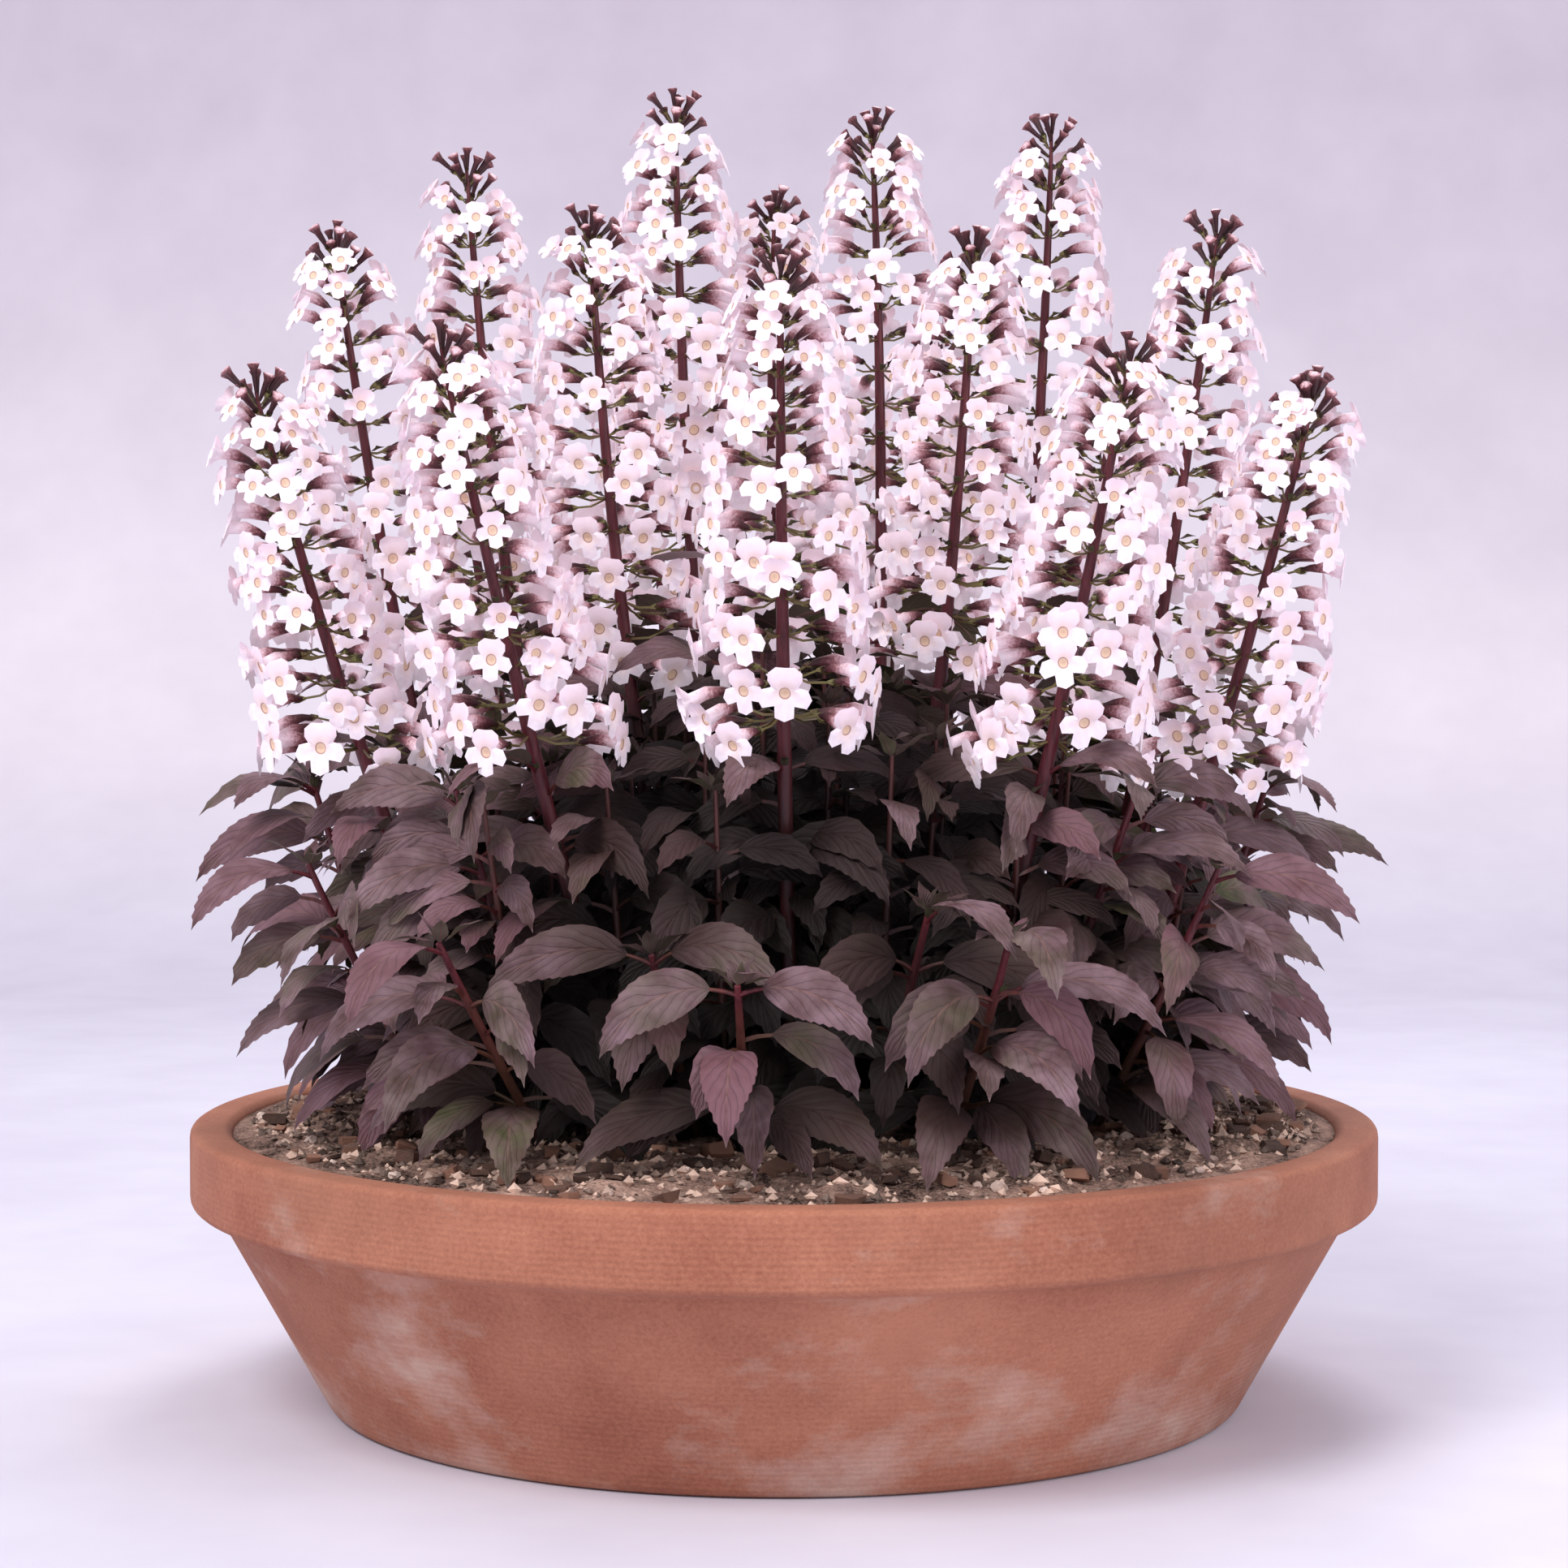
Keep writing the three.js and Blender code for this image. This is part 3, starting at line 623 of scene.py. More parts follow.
def leaf_spine(stem, place, turn, tilt, size):
    """A leaf's middle line from inside the stem to its tip, with the blade's directions at each step."""
    number, item = stem.number, place.item
    age = min(place.above / HIGH_LEAF_AT, 1)
    blade = lerp(*LEAF_LENGTH, age) * size * (1 + 0.1 * sway(number, item, 10))
    root_offset = stem_radius(stem, place.share) * ROOT_OFFSET
    petiole = lerp(*LEAF_STALK, age) + root_offset
    rise = lerp(*LEAF_RISE, age) + 10 * sway(number, item, 11) + tilt
    fall = lerp(*LEAF_FALL, age) + 12 * sway(number, item, 12) + tilt
    bend = radians(16 * sway(number, item, 13))
    azimuth = place.azimuth + radians(turn)
    roll = radians(LEAF_ROLL_SWAY * sway(number, item, 14) - leaf_facing(stem, azimuth))
    total = petiole + blade
    here = stem_point(stem, place.share) + direction(azimuth, 0) * root_offset
    stations = []
    for i in range(SPINE_STEPS + 1):
        share, ahead = i / SPINE_STEPS, (i + 0.5) / SPINE_STEPS
        heading = direction(azimuth + bend * share, radians(lerp(rise, fall, share)))
        level = direction(azimuth + bend * share + pi / 2, 0)
        side = level * cos(roll) + heading.cross(level) * sin(roll)
        stations.append((here.copy(), side, heading.cross(side)))
        here += direction(azimuth + bend * ahead, radians(lerp(rise, fall, ahead))) * (total / SPINE_STEPS)
    return SimpleNamespace(stations=stations, petiole_share=petiole / total,
                           half_width=lerp(*LEAF_HALF_WIDTH, age) * size)


def station_at(spine, share):
    """The spine's point, side and normal at any share of its length."""
    place = min(share * SPINE_STEPS, SPINE_STEPS - 1e-6)
    i = int(place)
    return [low.lerp(high, place - i) for low, high in zip(spine.stations[i], spine.stations[i + 1])]


def corner_tree(node):
    """A look-up of a frame node's corners by place."""
    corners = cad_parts[node].data.vertices
    tree = KDTree(len(corners))
    for i, corner in enumerate(corners):
        tree.insert(corner.co, i)
    tree.balance()
    return tree


def standing_leaf(stem, place, tree):
    """The way that this leaf stands in the frame: the first of its ways whose tip is a corner there."""
    for size, tilt, turn in product(SIZES, TILTS, TURNS):
        spine = leaf_spine(stem, place, turn, tilt, size)
        if tree.find(spine.stations[-1][0] * MM)[2] < MATCH_WITHIN:
            return spine
    return None


def make_blade_pattern(rows, columns):
    """A flat strip with a top and an underside, and each corner's share along, share across and side."""
    bm = new_mesh(PLANT_LAYERS, True)
    bmesh.ops.create_grid(bm, x_segments=rows, y_segments=columns, size=0.5)
    bmesh.ops.solidify(bm, geom=bm.faces[:], thickness=PATTERN_THICKNESS)
    middle = sum(corner.co.z for corner in bm.verts) / len(bm.verts)
    edge = [corner for corner in bm.verts if max(abs(corner.co.x), abs(corner.co.y)) > 0.499]
    for corner in edge:
        corner.co.z = middle
    bmesh.ops.remove_doubles(bm, verts=edge, dist=PATTERN_THICKNESS / 4)
    bmesh.ops.recalc_face_normals(bm, faces=bm.faces)
    if bm.calc_volume(signed=True) < 0:
        bmesh.ops.reverse_faces(bm, faces=bm.faces)
    uv = bm.loops.layers.uv["UVMap"]
    for face in bm.faces:
        face.material_index = 2 if face.calc_center_median().z < middle else 1
        for loop in face.loops:
            loop[uv].uv = (loop.vert.co.x + 0.5, loop.vert.co.y + 0.5)
    half = PATTERN_THICKNESS / 2
    corners = [(x + 0.5, y * 2, round((z - middle) / half)) for x, y, z in (corner.co for corner in bm.verts)]
    return as_mesh(bm, "blade_pattern"), corners, rows


blade_pattern = make_blade_pattern(BLADE_ROWS, BLADE_COLUMNS)
plain_blade_pattern = make_blade_pattern(11, 2)
small_blade_pattern = make_blade_pattern(7, 2)


def outline(along):
    """The blade's half width as a share of its widest, from its base to its tip."""
    return along ** OUTLINE_START * (1 - along) ** OUTLINE_END / OUTLINE_SCALE


def grow_blade(bm, pattern, spine, tone, olive_and_painted_shade, toothed=True):
    """A copy of the blade pattern laid along a leaf's spine, cambered, toothed and slightly waved."""
    mesh, corners, rows = pattern
    fresh = copy_in(bm, mesh)
    layers = [bm.verts.layers.float[name] for name in PLANT_LAYERS]
    wide = spine.half_width * BLADE_SLIMMING
    steps = [station_at(spine, lerp(spine.petiole_share, 1, i / rows)) for i in range(rows + 1)]
    shades = [shade_at(step[0]) for step in steps]
    for corner, (along, across, face) in zip(fresh, corners):
        row = round(along * rows)
        point, side, normal = steps[row]
        reach = outline(along) * wide
        off = across * reach
        if toothed and abs(across) > 0.99 and 0.12 < along < 0.96 and row % 2:
            off += copysign(TOOTH * lerp(0.5, 1.1, along), across)
            point = point.lerp(steps[min(row + 1, rows)][0], 0.42)
        ridge = 0.42 * abs(across) - 0.34 * across * across
        quilt = 0.09 * cos(FULL_TURN * (7 * along - 2.2 * abs(across))) * abs(across) * (1 - abs(across)) * 4
        wave = 1.3 * sin(9 * along + FULL_TURN * tone) * across * across * outline(along)
        lift = ridge * reach + quilt + wave + face * BLADE_THICKNESS / 2
        if face < 0 and abs(across) < 0.01:
            lift -= 0.9 * (1 - along)
        corner.co = (point + side * off + normal * lift) * MM
        for layer, value in zip(layers, (tone, olive_and_painted_shade, shades[row])):
            corner[layer] = value


def where_on_leaf(leaf):
    """The blade's flat map, the share along it and the distance from its midrib."""
    flat = leaf.add("ShaderNodeUVMap").outputs[0]
    along, sideways, _ = leaf.add("ShaderNodeSeparateXYZ", {0: flat}).outputs
    return flat, along, leaf.math("ABSOLUTE", leaf.between(sideways, 0, 1, -1, 1))


def make_leaf_top_finish():
    leaf = Finish("leaf_top", 0.5, 0.3)
    flat, along, across = where_on_leaf(leaf)
    tone, olive_and_painted_shade, shade = (leaf.mark(name) for name in PLANT_LAYERS)
    bent = leaf.times(leaf.math("POWER", across, 0.75), 2.6)
    phase = leaf.minus(leaf.times(along, 6.6), bent)
    uneven = leaf.between(leaf.clouds(70, 2), 0.3, 0.7, -0.22, 0.22)
    from_vein = leaf.math("PINGPONG", leaf.plus(phase, uneven), 0.5)
    quilted = leaf.between(from_vein, 0, 0.5)
    inside = leaf.between(across, 0.7, 0.95, 1, 0)
    veins = leaf.times(leaf.between(from_vein, 0, 0.07, 1, 0), inside)
    midrib = leaf.between(across, 0.02, 0.085, 1, 0)
    clouds = leaf.clouds(55, 4)
    leaf.skin = leaf.mix(leaf.between(clouds, 0.3, 0.7), (87, 57, 57), (154, 125, 134))
    leaf.coat(leaf.between(tone, 0.45, 1, 0, 0.7), (122, 78, 87))
    leaf.coat(leaf.between(tone, 0, 0.4, 0.5, 0), (76, 54, 50))
    olive = leaf.mix(leaf.between(clouds, 0.35, 0.65), (74, 78, 44), (104, 102, 70))
    leaf.coat(leaf.times(leaf.between(leaf.clouds(24, 5, 0.6), 0.42, 0.66), olive_and_painted_shade), olive)
    # Values above 1 lay painted shade over leaves deep in the clump, on top of the olive green.
    leaf.coat(leaf.between(olive_and_painted_shade, 1, 2, 0, 0.85), (40, 27, 21))
    fine = leaf.clouds(6, 4, 0.7, leaf.stretched((26, 60, 1), flat))
    leaf.coat(leaf.between(fine, 0.4, 0.75, 0, 0.28), (56, 40, 44))
    leaf.coat(leaf.between(quilted, 0, 1, 0.12, 0), (50, 36, 40))
    leaf.coat(leaf.times(veins, 0.3), (52, 36, 40))
    leaf.coat(leaf.times(midrib, 0.45), (138, 104, 96))
    leaf.coat(leaf.between(across, 0.93, 1, 0, 0.4), (104, 68, 76))
    leaf.coat(leaf.between(along, 0.95, 1, 0, 0.6), (176, 154, 150))
    leaf.coat(leaf.math("MINIMUM", leaf.times(shade, 2.2), 0.75), (58, 31, 26))
    leaf.coat(leaf.times(shade, 0.93), (20, 13, 10))
    sunk = leaf.plus(leaf.times(veins, -0.4), leaf.times(midrib, -1))
    relief = leaf.plus(leaf.plus(sunk, leaf.times(quilted, 0.75)), leaf.times(fine, 0.4))
    leaf.join(leaf.between(clouds, 0.3, 0.7, 0.42, 0.6), leaf.sockets["Roughness"])
    return leaf.finished(relief, 0.0007, 0.8)


def make_leaf_underside_finish():
    leaf = Finish("leaf_underside", 0.66)
    _, along, across = where_on_leaf(leaf)
    olive_and_painted_shade, shade = leaf.mark("olive_and_painted_shade"), leaf.mark("shade")
    phase = leaf.minus(leaf.times(along, 8.5), leaf.times(across, 2.3))
    veins = leaf.between(leaf.math("PINGPONG", phase, 0.5), 0, 0.1, 1, 0)
    leaf.skin = leaf.mix(leaf.clouds(40, 4), (84, 62, 66), (108, 84, 84))
    leaf.coat(leaf.between(olive_and_painted_shade, 0, 1, 0.25, 0.9), (92, 100, 58))
    # Values above 1 lay painted shade over the undersides of leaves deep in the clump.
    leaf.coat(leaf.between(olive_and_painted_shade, 1, 2, 0, 0.85), (46, 33, 26))
    ribs = leaf.math("MAXIMUM", leaf.times(veins, 0.4), leaf.between(across, 0.04, 0.14, 1, 0))
    leaf.coat(leaf.times(ribs, 0.5), (134, 82, 80))
    leaf.coat(leaf.times(shade, 0.93), (20, 14, 11))
    return leaf.finished(ribs, 0.0005)


leaf_top = make_leaf_top_finish()
leaf_underside = make_leaf_underside_finish()


# Leafy stems and shoots. The stems are round, smooth and burgundy, olive brown at the foot, a little swollen
# where each pair of leaves joins. Small yellow-green side buds sit in some of the joints.
STEM_SIDES = 10
STEM_ROWS = 26
PETIOLE_RADIUS = 1.25
BUD_LEAF_LENGTH = 15
FILLER_START = 24
FILLER_SPACING = (22, 15)
FILLER_CLEAR_FRONT = 0.95
TUFT_LEAVES = 6


def make_tube_pattern(rows, sides):
    """A closed tube of unit radius and length, with the share along and the angle of each corner."""
    bm = new_mesh(PLANT_LAYERS, True)
    bmesh.ops.create_cone(bm, cap_ends=True, segments=sides, radius1=1, radius2=1, depth=1)
    lengthwise = [edge for edge in bm.edges if abs(edge.verts[0].co.z - edge.verts[1].co.z) > 0.5]
    bmesh.ops.subdivide_edges(bm, edges=lengthwise, cuts=rows - 1)
    corners = [(corner.co.z + 0.5, atan2(corner.co.y, corner.co.x)) for corner in bm.verts]
    return as_mesh(bm, "tube_pattern"), corners, rows


stem_pattern = make_tube_pattern(STEM_ROWS, STEM_SIDES)
shoot_pattern = make_tube_pattern(8, 6)
stalk_pattern = make_tube_pattern(3, 6)
thread_pattern = make_tube_pattern(2, 3)


def grow_tube(bm, pattern, point_at, radius_at, green_at, tone=0.5):
    """A copy of the tube pattern laid along a line of points."""
    mesh, corners, rows = pattern
    fresh = copy_in(bm, mesh)
    layers = [bm.verts.layers.float[name] for name in PLANT_LAYERS]
    steps = []
    for i in range(rows + 1):
        share = i / rows
        along = (point_at(share + 0.01) - point_at(share - 0.01)).normalized()
        side = (Vector((1, 0, 0)) if abs(along.x) < 0.8 else Vector((0, 1, 0))).cross(along).normalized()
        steps.append((point_at(share), side, along.cross(side), radius_at(share), green_at(share)))
    shades = [shade_at(step[0]) for step in steps]
    for corner, (share, angle) in zip(fresh, corners):
        row = round(share * rows)
        point, side, front, radius, olive_and_painted_shade = steps[row]
        corner.co = (point + side * (radius * cos(angle)) + front * (radius * sin(angle))) * MM
        for layer, value in zip(layers, (tone, olive_and_painted_shade, shades[row])):
            corner[layer] = value


def make_stem_finish():
    stem = Finish("stem_skin", 0.42, 0.45)
    stem.skin, specks = stem.grain((64, 15, 25), (106, 40, 48), 300, 1400, stem.stretched((1, 1, 0.12)))
    height = stem.plus(stem.height(), stem.times(stem.clouds(40), 0.08))
    low = stem.between(height, (POT_HEIGHT + 45) * MM, (POT_HEIGHT + 140) * MM, 0.85, 0)
    stem.coat(low, stem.mix(stem.clouds(90), (78, 54, 34), (124, 96, 58)))
    stem.coat(stem.mark("olive_and_painted_shade"), stem.mix(stem.clouds(160), (112, 118, 62), (146, 150, 88)))
    stem.coat(stem.times(stem.mark("shade"), 0.7), (30, 18, 16))
    return stem.finished(specks, 0.0003, 0.5)


plant_skins = [make_stem_finish(), leaf_top, leaf_underside]


def grow_petiole(bm, spine, olive_and_painted_shade, pattern):
    share = spine.petiole_share

    def point_at(s):
        point = station_at(spine, max(share * 1.06 * s, 0))[0]
        return point - station_at(spine, max(share * s, 0))[2] * 0.5 * s

    grow_tube(bm, pattern, point_at, lambda s: PETIOLE_RADIUS * lerp(1.15, 0.8, s), lambda s: olive_and_painted_shade * s)


def grow_small_leaf(bm, pattern, here, azimuth, rise, droop, length, slimness, petiole_share, tone, olive_and_painted_shade):
    """An untoothed leaf from a point, which rises at an angle and droops by another along its length."""
    side = direction(azimuth + pi / 2, 0)
    stations = []
    for k in range(SPINE_STEPS + 1):
        heading = direction(azimuth, radians(rise - droop * k / SPINE_STEPS))
        stations.append((here, side, heading.cross(side)))
        here = here + heading * length / SPINE_STEPS
    spine = SimpleNamespace(stations=stations, petiole_share=petiole_share, half_width=length * slimness)
    grow_blade(bm, pattern, spine, tone, olive_and_painted_shade, False)


def grow_side_bud(bm, stem, place):
    """Two tiny fresh leaves in the joint above a leaf."""
    number, item = stem.number, place.item
    root = stem_point(stem, place.share) + Vector((0, 0, 2))
    for i in range(2):
        turn = place.azimuth + 0.7 * sway(number, item, 40 + i)
        length = BUD_LEAF_LENGTH * lerp(0.6, 1.2, draw(number, item, 42 + i))
        start = root + direction(turn, 0) * stem_radius(stem, place.share) * 0.6
        rise = lerp(25, 65, draw(number, item, 44 + i))
        # A value of 1.6 makes the buds olive green with some painted shade over them.
        grow_small_leaf(bm, small_blade_pattern, start, turn, rise, 45, length, 0.17, 0.08, 0.5, 1.6)


def filler_places(stem):
    """Where the smaller leaves of a stem's side growth stand, between its main pairs."""
    places = []
    at_side = 0 if stem.flowers else cos(stem.outward) ** 2
    spacing = lerp(*FILLER_SPACING, at_side)
    for i in range(int((stem.height * stem.leafy - FILLER_START) / spacing)):
        azimuth = 2.4 * i + FULL_TURN * draw(stem.number, 0, 60)
        for side in range(2):
            item = 200 + 2 * i + side
            turned = azimuth + pi * side + 0.5 * sway(stem.number, item, 61)
            turned += LIGHT_TURN * wrap_angle(stem.outward - turned)
            above = FILLER_START + spacing * i + 6 * sway(stem.number, item, 62)
            if not stem.flowers or abs(wrap_angle(stem.outward - turned)) >= FILLER_CLEAR_FRONT:
                places.append(place_on(stem, item, above, turned))
    return places


def depth_in_clump(stem, place):
    """How deep inside the clump a leaf grows: 0 at its outside, 1 in the dark middle."""
    out = stem.from_middle + 60 * cos(wrap_angle(place.azimuth - stem.outward))
    return (1 - clamp((place.above - 60) / 170)) * clamp((230 - out) / 110)


def grow_filler_leaves(bm, stem):
    number = stem.number
    for place in filler_places(stem):
        size = lerp(0.62, 0.92, draw(number, place.item, 63))
        spine = leaf_spine(stem, place, 0, 10 * sway(number, place.item, 64), size)
        # Deep in the clump this passes 1, which adds painted shade to the olive green.
        olive_and_painted_shade = draw(number, place.item, 31) ** 2 + 1.1 * depth_in_clump(stem, place)
        grow_blade(bm, plain_blade_pattern, spine, draw(number, place.item, 32), min(olive_and_painted_shade, 2))
        grow_petiole(bm, spine, 0.1, thread_pattern)


def grow_tip_tuft(bm, stem):
    """The unopened leaves at the end of a shoot, which stand up round its bud and get shorter inwards."""
    number = stem.number
    for i in range(TUFT_LEAVES):
        inward = i / (TUFT_LEAVES - 1)
        azimuth = FULL_TURN * (i / 4 + (i % 2) / 2 + draw(number, 0, 70)) + 0.3 * sway(number, i, 71)
        length = lerp(34, 15, inward) * (1 + 0.15 * sway(number, i, 72))
        rise, droop = lerp(34, 78, inward), lerp(58, 18, inward)
        grow_small_leaf(bm, small_blade_pattern, stem_point(stem, 0.985), azimuth, rise, droop, length, 0.2,
                        0.12, draw(number, i, 73), 0.5 * draw(number, i, 74))


def make_leafy_piece(stem):
    """One stem with its leaves. Gives how many leaves have no place in the frame."""
    bm = new_mesh(PLANT_LAYERS, True)
    number = stem.number
    high = stem.leafy if stem.flowers else 1.0
    places = leaf_places(stem)
    joints = sorted({round(place.share, 3) for place in places})

    def share_at(s):
        return lerp(-STEM_ROOT / stem.height, high, s)

    def radius_at(s):
        swelling = sum(exp(-(((share_at(s) - joint) * stem.height / 5) ** 2)) for joint in joints)
        return stem_radius(stem, share_at(s)) * (1 + 0.1 * min(swelling, 1))

    grow_tube(bm, stem_pattern, lambda s: stem_point(stem, share_at(s)), radius_at, lambda s: 0,
              draw(number, 0, 30))
    tree = corner_tree(stem.node)
    missing = 0
    for place in places:
        spine = standing_leaf(stem, place, tree)
        if spine is None:
            missing += 1
            continue
        low_leaf = 1 - min(place.above / 150, 1)
        olive_and_painted_shade = clamp(draw(number, place.item, 31) * 1.1 - 0.45 + 0.45 * low_leaf)
        # Deep in the clump this passes 1, which adds painted shade to the olive green.
        olive_and_painted_shade = max(olive_and_painted_shade, 2 * depth_in_clump(stem, place))
        grow_blade(bm, blade_pattern, spine, draw(number, place.item, 32), olive_and_painted_shade)
        grow_petiole(bm, spine, 0.2 * min(olive_and_painted_shade, 1), stalk_pattern)
        if draw(number, place.item, 33) < 0.55 and place.above > 70:
            grow_side_bud(bm, stem, place)
    grow_filler_leaves(bm, stem)
    if not stem.flowers:
        grow_tip_tuft(bm, stem)
    finish_piece(bm, stem.node + "_grown", plant_skins, [stem.node], 62)
    return missing


left_off = sum(make_leafy_piece(stem) for stem in stems)
print("leaves with no room:", left_off)


# Young basal growth. Between the big stems the crown of the plant sends up many short leafy shoots, which
# fill the clump's shaded middle with small leaves painted dark as shade. One row of them closes the back.
YOUNG_SHOOTS = 57
GOLDEN_ANGLE = 2.39996
YOUNG_CROWN_RADIUS = 228
YOUNG_HEIGHT = (310, 140)
YOUNG_THICKNESS = (SHOOT_THICKNESS[0] * 0.85, SHOOT_THICKNESS[1] * 0.7)
BACK_HEIGHT = 60
BACK_ROW = {"shoots": 9, "radius": 214, "height": 205}


def make_young_growth():
    bm = new_mesh(PLANT_LAYERS, True)
    for i in range(YOUNG_SHOOTS + BACK_ROW["shoots"]):
        number = 100 + i
        if i < YOUNG_SHOOTS:
            angle = GOLDEN_ANGLE * i
            radius = YOUNG_CROWN_RADIUS * sqrt((i + 0.5) / YOUNG_SHOOTS) * lerp(0.66, 1, cos(angle) ** 2)
            out = radius / YOUNG_CROWN_RADIUS
            height = lerp(*YOUNG_HEIGHT, out) + BACK_HEIGHT * max(sin(angle), 0) * out
        else:
            angle = radians(lerp(24, 156, (i - YOUNG_SHOOTS) / (BACK_ROW["shoots"] - 1)))
            radius = BACK_ROW["radius"] * lerp(0.82, 1, cos(angle) ** 2)
            height = BACK_ROW["height"]
        x, y = radius * cos(angle), radius * sin(angle)
        lean = 1.16 + 0.1 * sway(number, 0, 3)
        tip = (x * lean, y * lean, height * (1 + 0.13 * sway(number, 0, 4)))
        bow = (STEM_BOW * x, STEM_BOW * y)
        shoot = plan_stem(number, (x, y), tip, YOUNG_THICKNESS, bow, leafy=1, flowers=False)
        grow_tube(bm, shoot_pattern, lambda s: stem_point(shoot, lerp(-0.06, 1, s)),
                  lambda s: stem_radius(shoot, s), lambda s: 0.06)
        grow_filler_leaves(bm, shoot)
        grow_tip_tuft(bm, shoot)
    finish_piece(bm, "young_growth", plant_skins, (), 62)


make_young_growth()


# Flowers. A real one is a slender trumpet, dark at its thin base and pale at its wide mouth, with lobes round
# a tan oval throat: a broad pinkish pair above, a rounded one to each side and one below. Each sits in a
# small pointed green cup on a thin stalk.
TUBE_LENGTH = 24
FLOWER_NOD = 13
HALF_FACE = (
    (90, 10.8), (70, 11.8), (50, 11.2), (35, 9.0), (24, 6.2), (10, 9.8), (-12, 11.8), (-33, 11.2), (-49, 6.4),
    (-68, 10.8), (-90, 11.8),
)
MOUTH_RADIUS = 2.6
TUBE_SIDES = 8
TRUMPET_SIDES = 6
CUP_LENGTH = 5
PETAL_PAINTED_GLOW = 0.25
TUBE_COLOURS = (
    (0.08, (50, 22, 27)), (0.54, (232, 214, 224)), (0.21, (80, 38, 43)), (0.3, (140, 92, 98)),
    (0.4, (208, 174, 183)),
)
FLOWER_LAYERS = ("along", "down", "tone")


def edges_of(bm, ring):
    return [edge for edge in bm.edges if edge.verts[0] in ring and edge.verts[1] in ring]


def next_ring(bm, ring):
    """A new ring grown outwards from a ring of corners, in the same order."""
    edges = [edge for edge in edges_of(bm, ring) if len(edge.link_faces) < 2]
    grown = bmesh.ops.extrude_edge_only(bm, edges=edges)["geom"]
    order = {corner: i for i, corner in enumerate(ring)}
    following = [None] * len(ring)
    for corner in grown:
        if isinstance(corner, bmesh.types.BMVert):
            for edge in corner.link_edges:
                other = edge.other_vert(corner)
                if other in order:
                    following[order[other]] = corner
    return following


def grow_rings(bm, ring, place, rings, down=None):
    """Grows a ring through others, each given by how far along it is and its (x, angle, radius)."""
    along_layer, down_layer = (bm.verts.layers.float[name] for name in FLOWER_LAYERS[:2])
    for k, (along, points) in enumerate(rings):
        if k:
            ring = next_ring(bm, ring)
        for corner, (x, angle, radius) in zip(ring, points):
            turn = radians(angle)
            corner.co = place(Vector((x, -radius * cos(turn), radius * sin(turn))))
            corner[along_layer] = along
            corner[down_layer] = (1 - sin(turn)) / 2 if down is None else down
    return ring


def make_flower_pattern(name, swell, spread, upper_back, lower_forward, cupped):
    """One flower along +X with its face tipped down."""
    bm = new_mesh(FLOWER_LAYERS)
    length = TUBE_LENGTH
    tip_down = Matrix.Rotation(radians(FLOWER_NOD), 3, "Y")
    droop = 0.1 * length
    face = [*HALF_FACE, *((180 - angle, radius) for angle, radius in reversed(HALF_FACE[1:-1]))]

    def on_face(point):
        return Vector((length, 0, -droop)) + tip_down @ (point - Vector((length, 0, 0)))

    def on_tube(point):
        share = point.x / length
        return Vector((point.x, point.y, point.z - droop * share ** 3 + 0.06 * length * sin(pi * share)))

    def lobe_x(angle, flare):
        up = sin(radians(angle))
        bend = lerp(lower_forward, -upper_back, (up + 1) / 2)
        return length + bend * flare * flare + cupped * flare * (1 - flare) * 4 + 0.35 * (1 - flare)

    ring = bmesh.ops.create_circle(bm, cap_ends=True, segments=len(face), radius=1)["verts"]
    centre = bmesh.ops.poke(bm, faces=bm.faces[:])["verts"][0]
    centre.co = on_face(Vector((length - 2.4, 0, 0)))
    centre[bm.verts.layers.float["along"]] = 1.0
    centre[bm.verts.layers.float["down"]] = 0.5
    grow_rings(bm, ring, on_face, (
        (0.9, [(length - 0.2, a, MOUTH_RADIUS * (1 + 0.12 * abs(sin(radians(a))))) for a, _ in face]),
        (0.8, [(lobe_x(a, 0.5), a, lerp(MOUTH_RADIUS, radius * spread, 0.52)) for a, radius in face]),
        (0.7, [(lobe_x(a, 1.0) - 0.1, a, radius * spread) for a, radius in face]),
        (0.6, [(length - 0.9, a, MOUTH_RADIUS + 1.1) for a, _ in face]),
    ))
    face_edges = [edge for edge in bm.edges if len(edge.link_faces) == 1]
    tube = bmesh.ops.create_circle(bm, cap_ends=True, segments=TUBE_SIDES, radius=1)["verts"]
    turns = [90 - 360 * i / TUBE_SIDES for i in range(TUBE_SIDES)]
    tube = grow_rings(bm, tube, on_tube, [
        (share * 0.6, [(share * length, turn, radius * swell) for turn in turns])
        for share, radius in ((0, 0.95), (0.28, 2.1), (0.64, 3.5))
    ])
    bmesh.ops.bridge_loops(bm, edges=face_edges + edges_of(bm, tube))
    bmesh.ops.recalc_face_normals(bm, faces=bm.faces)
    return as_mesh(bm, name)


def make_trumpet_pattern():
    """A narrow young flower that hasn't opened: a dark trumpet with a pinched pink end."""
    bm = new_mesh(FLOWER_LAYERS)
    ring = bmesh.ops.create_circle(bm, cap_ends=True, segments=TRUMPET_SIDES, radius=1)["verts"]
    stations = ((0, 0.9, 0, 1), (6, 1.5, 0.12, 1), (12, 2, 0.24, 1), (16, 3.3, 0.39, 1.25),
                (16.6, 1.5, 0.5, 1))
    ring = grow_rings(bm, ring, lambda point: point, [
        (along, [(x, 60 * i, radius * (lobe if i % 2 else 1)) for i in range(TRUMPET_SIDES)])
        for x, radius, along, lobe in stations
    ], 0.2)
    bmesh.ops.contextual_create(bm, geom=ring)
    bmesh.ops.recalc_face_normals(bm, faces=bm.faces)
    return as_mesh(bm, "trumpet_pattern")


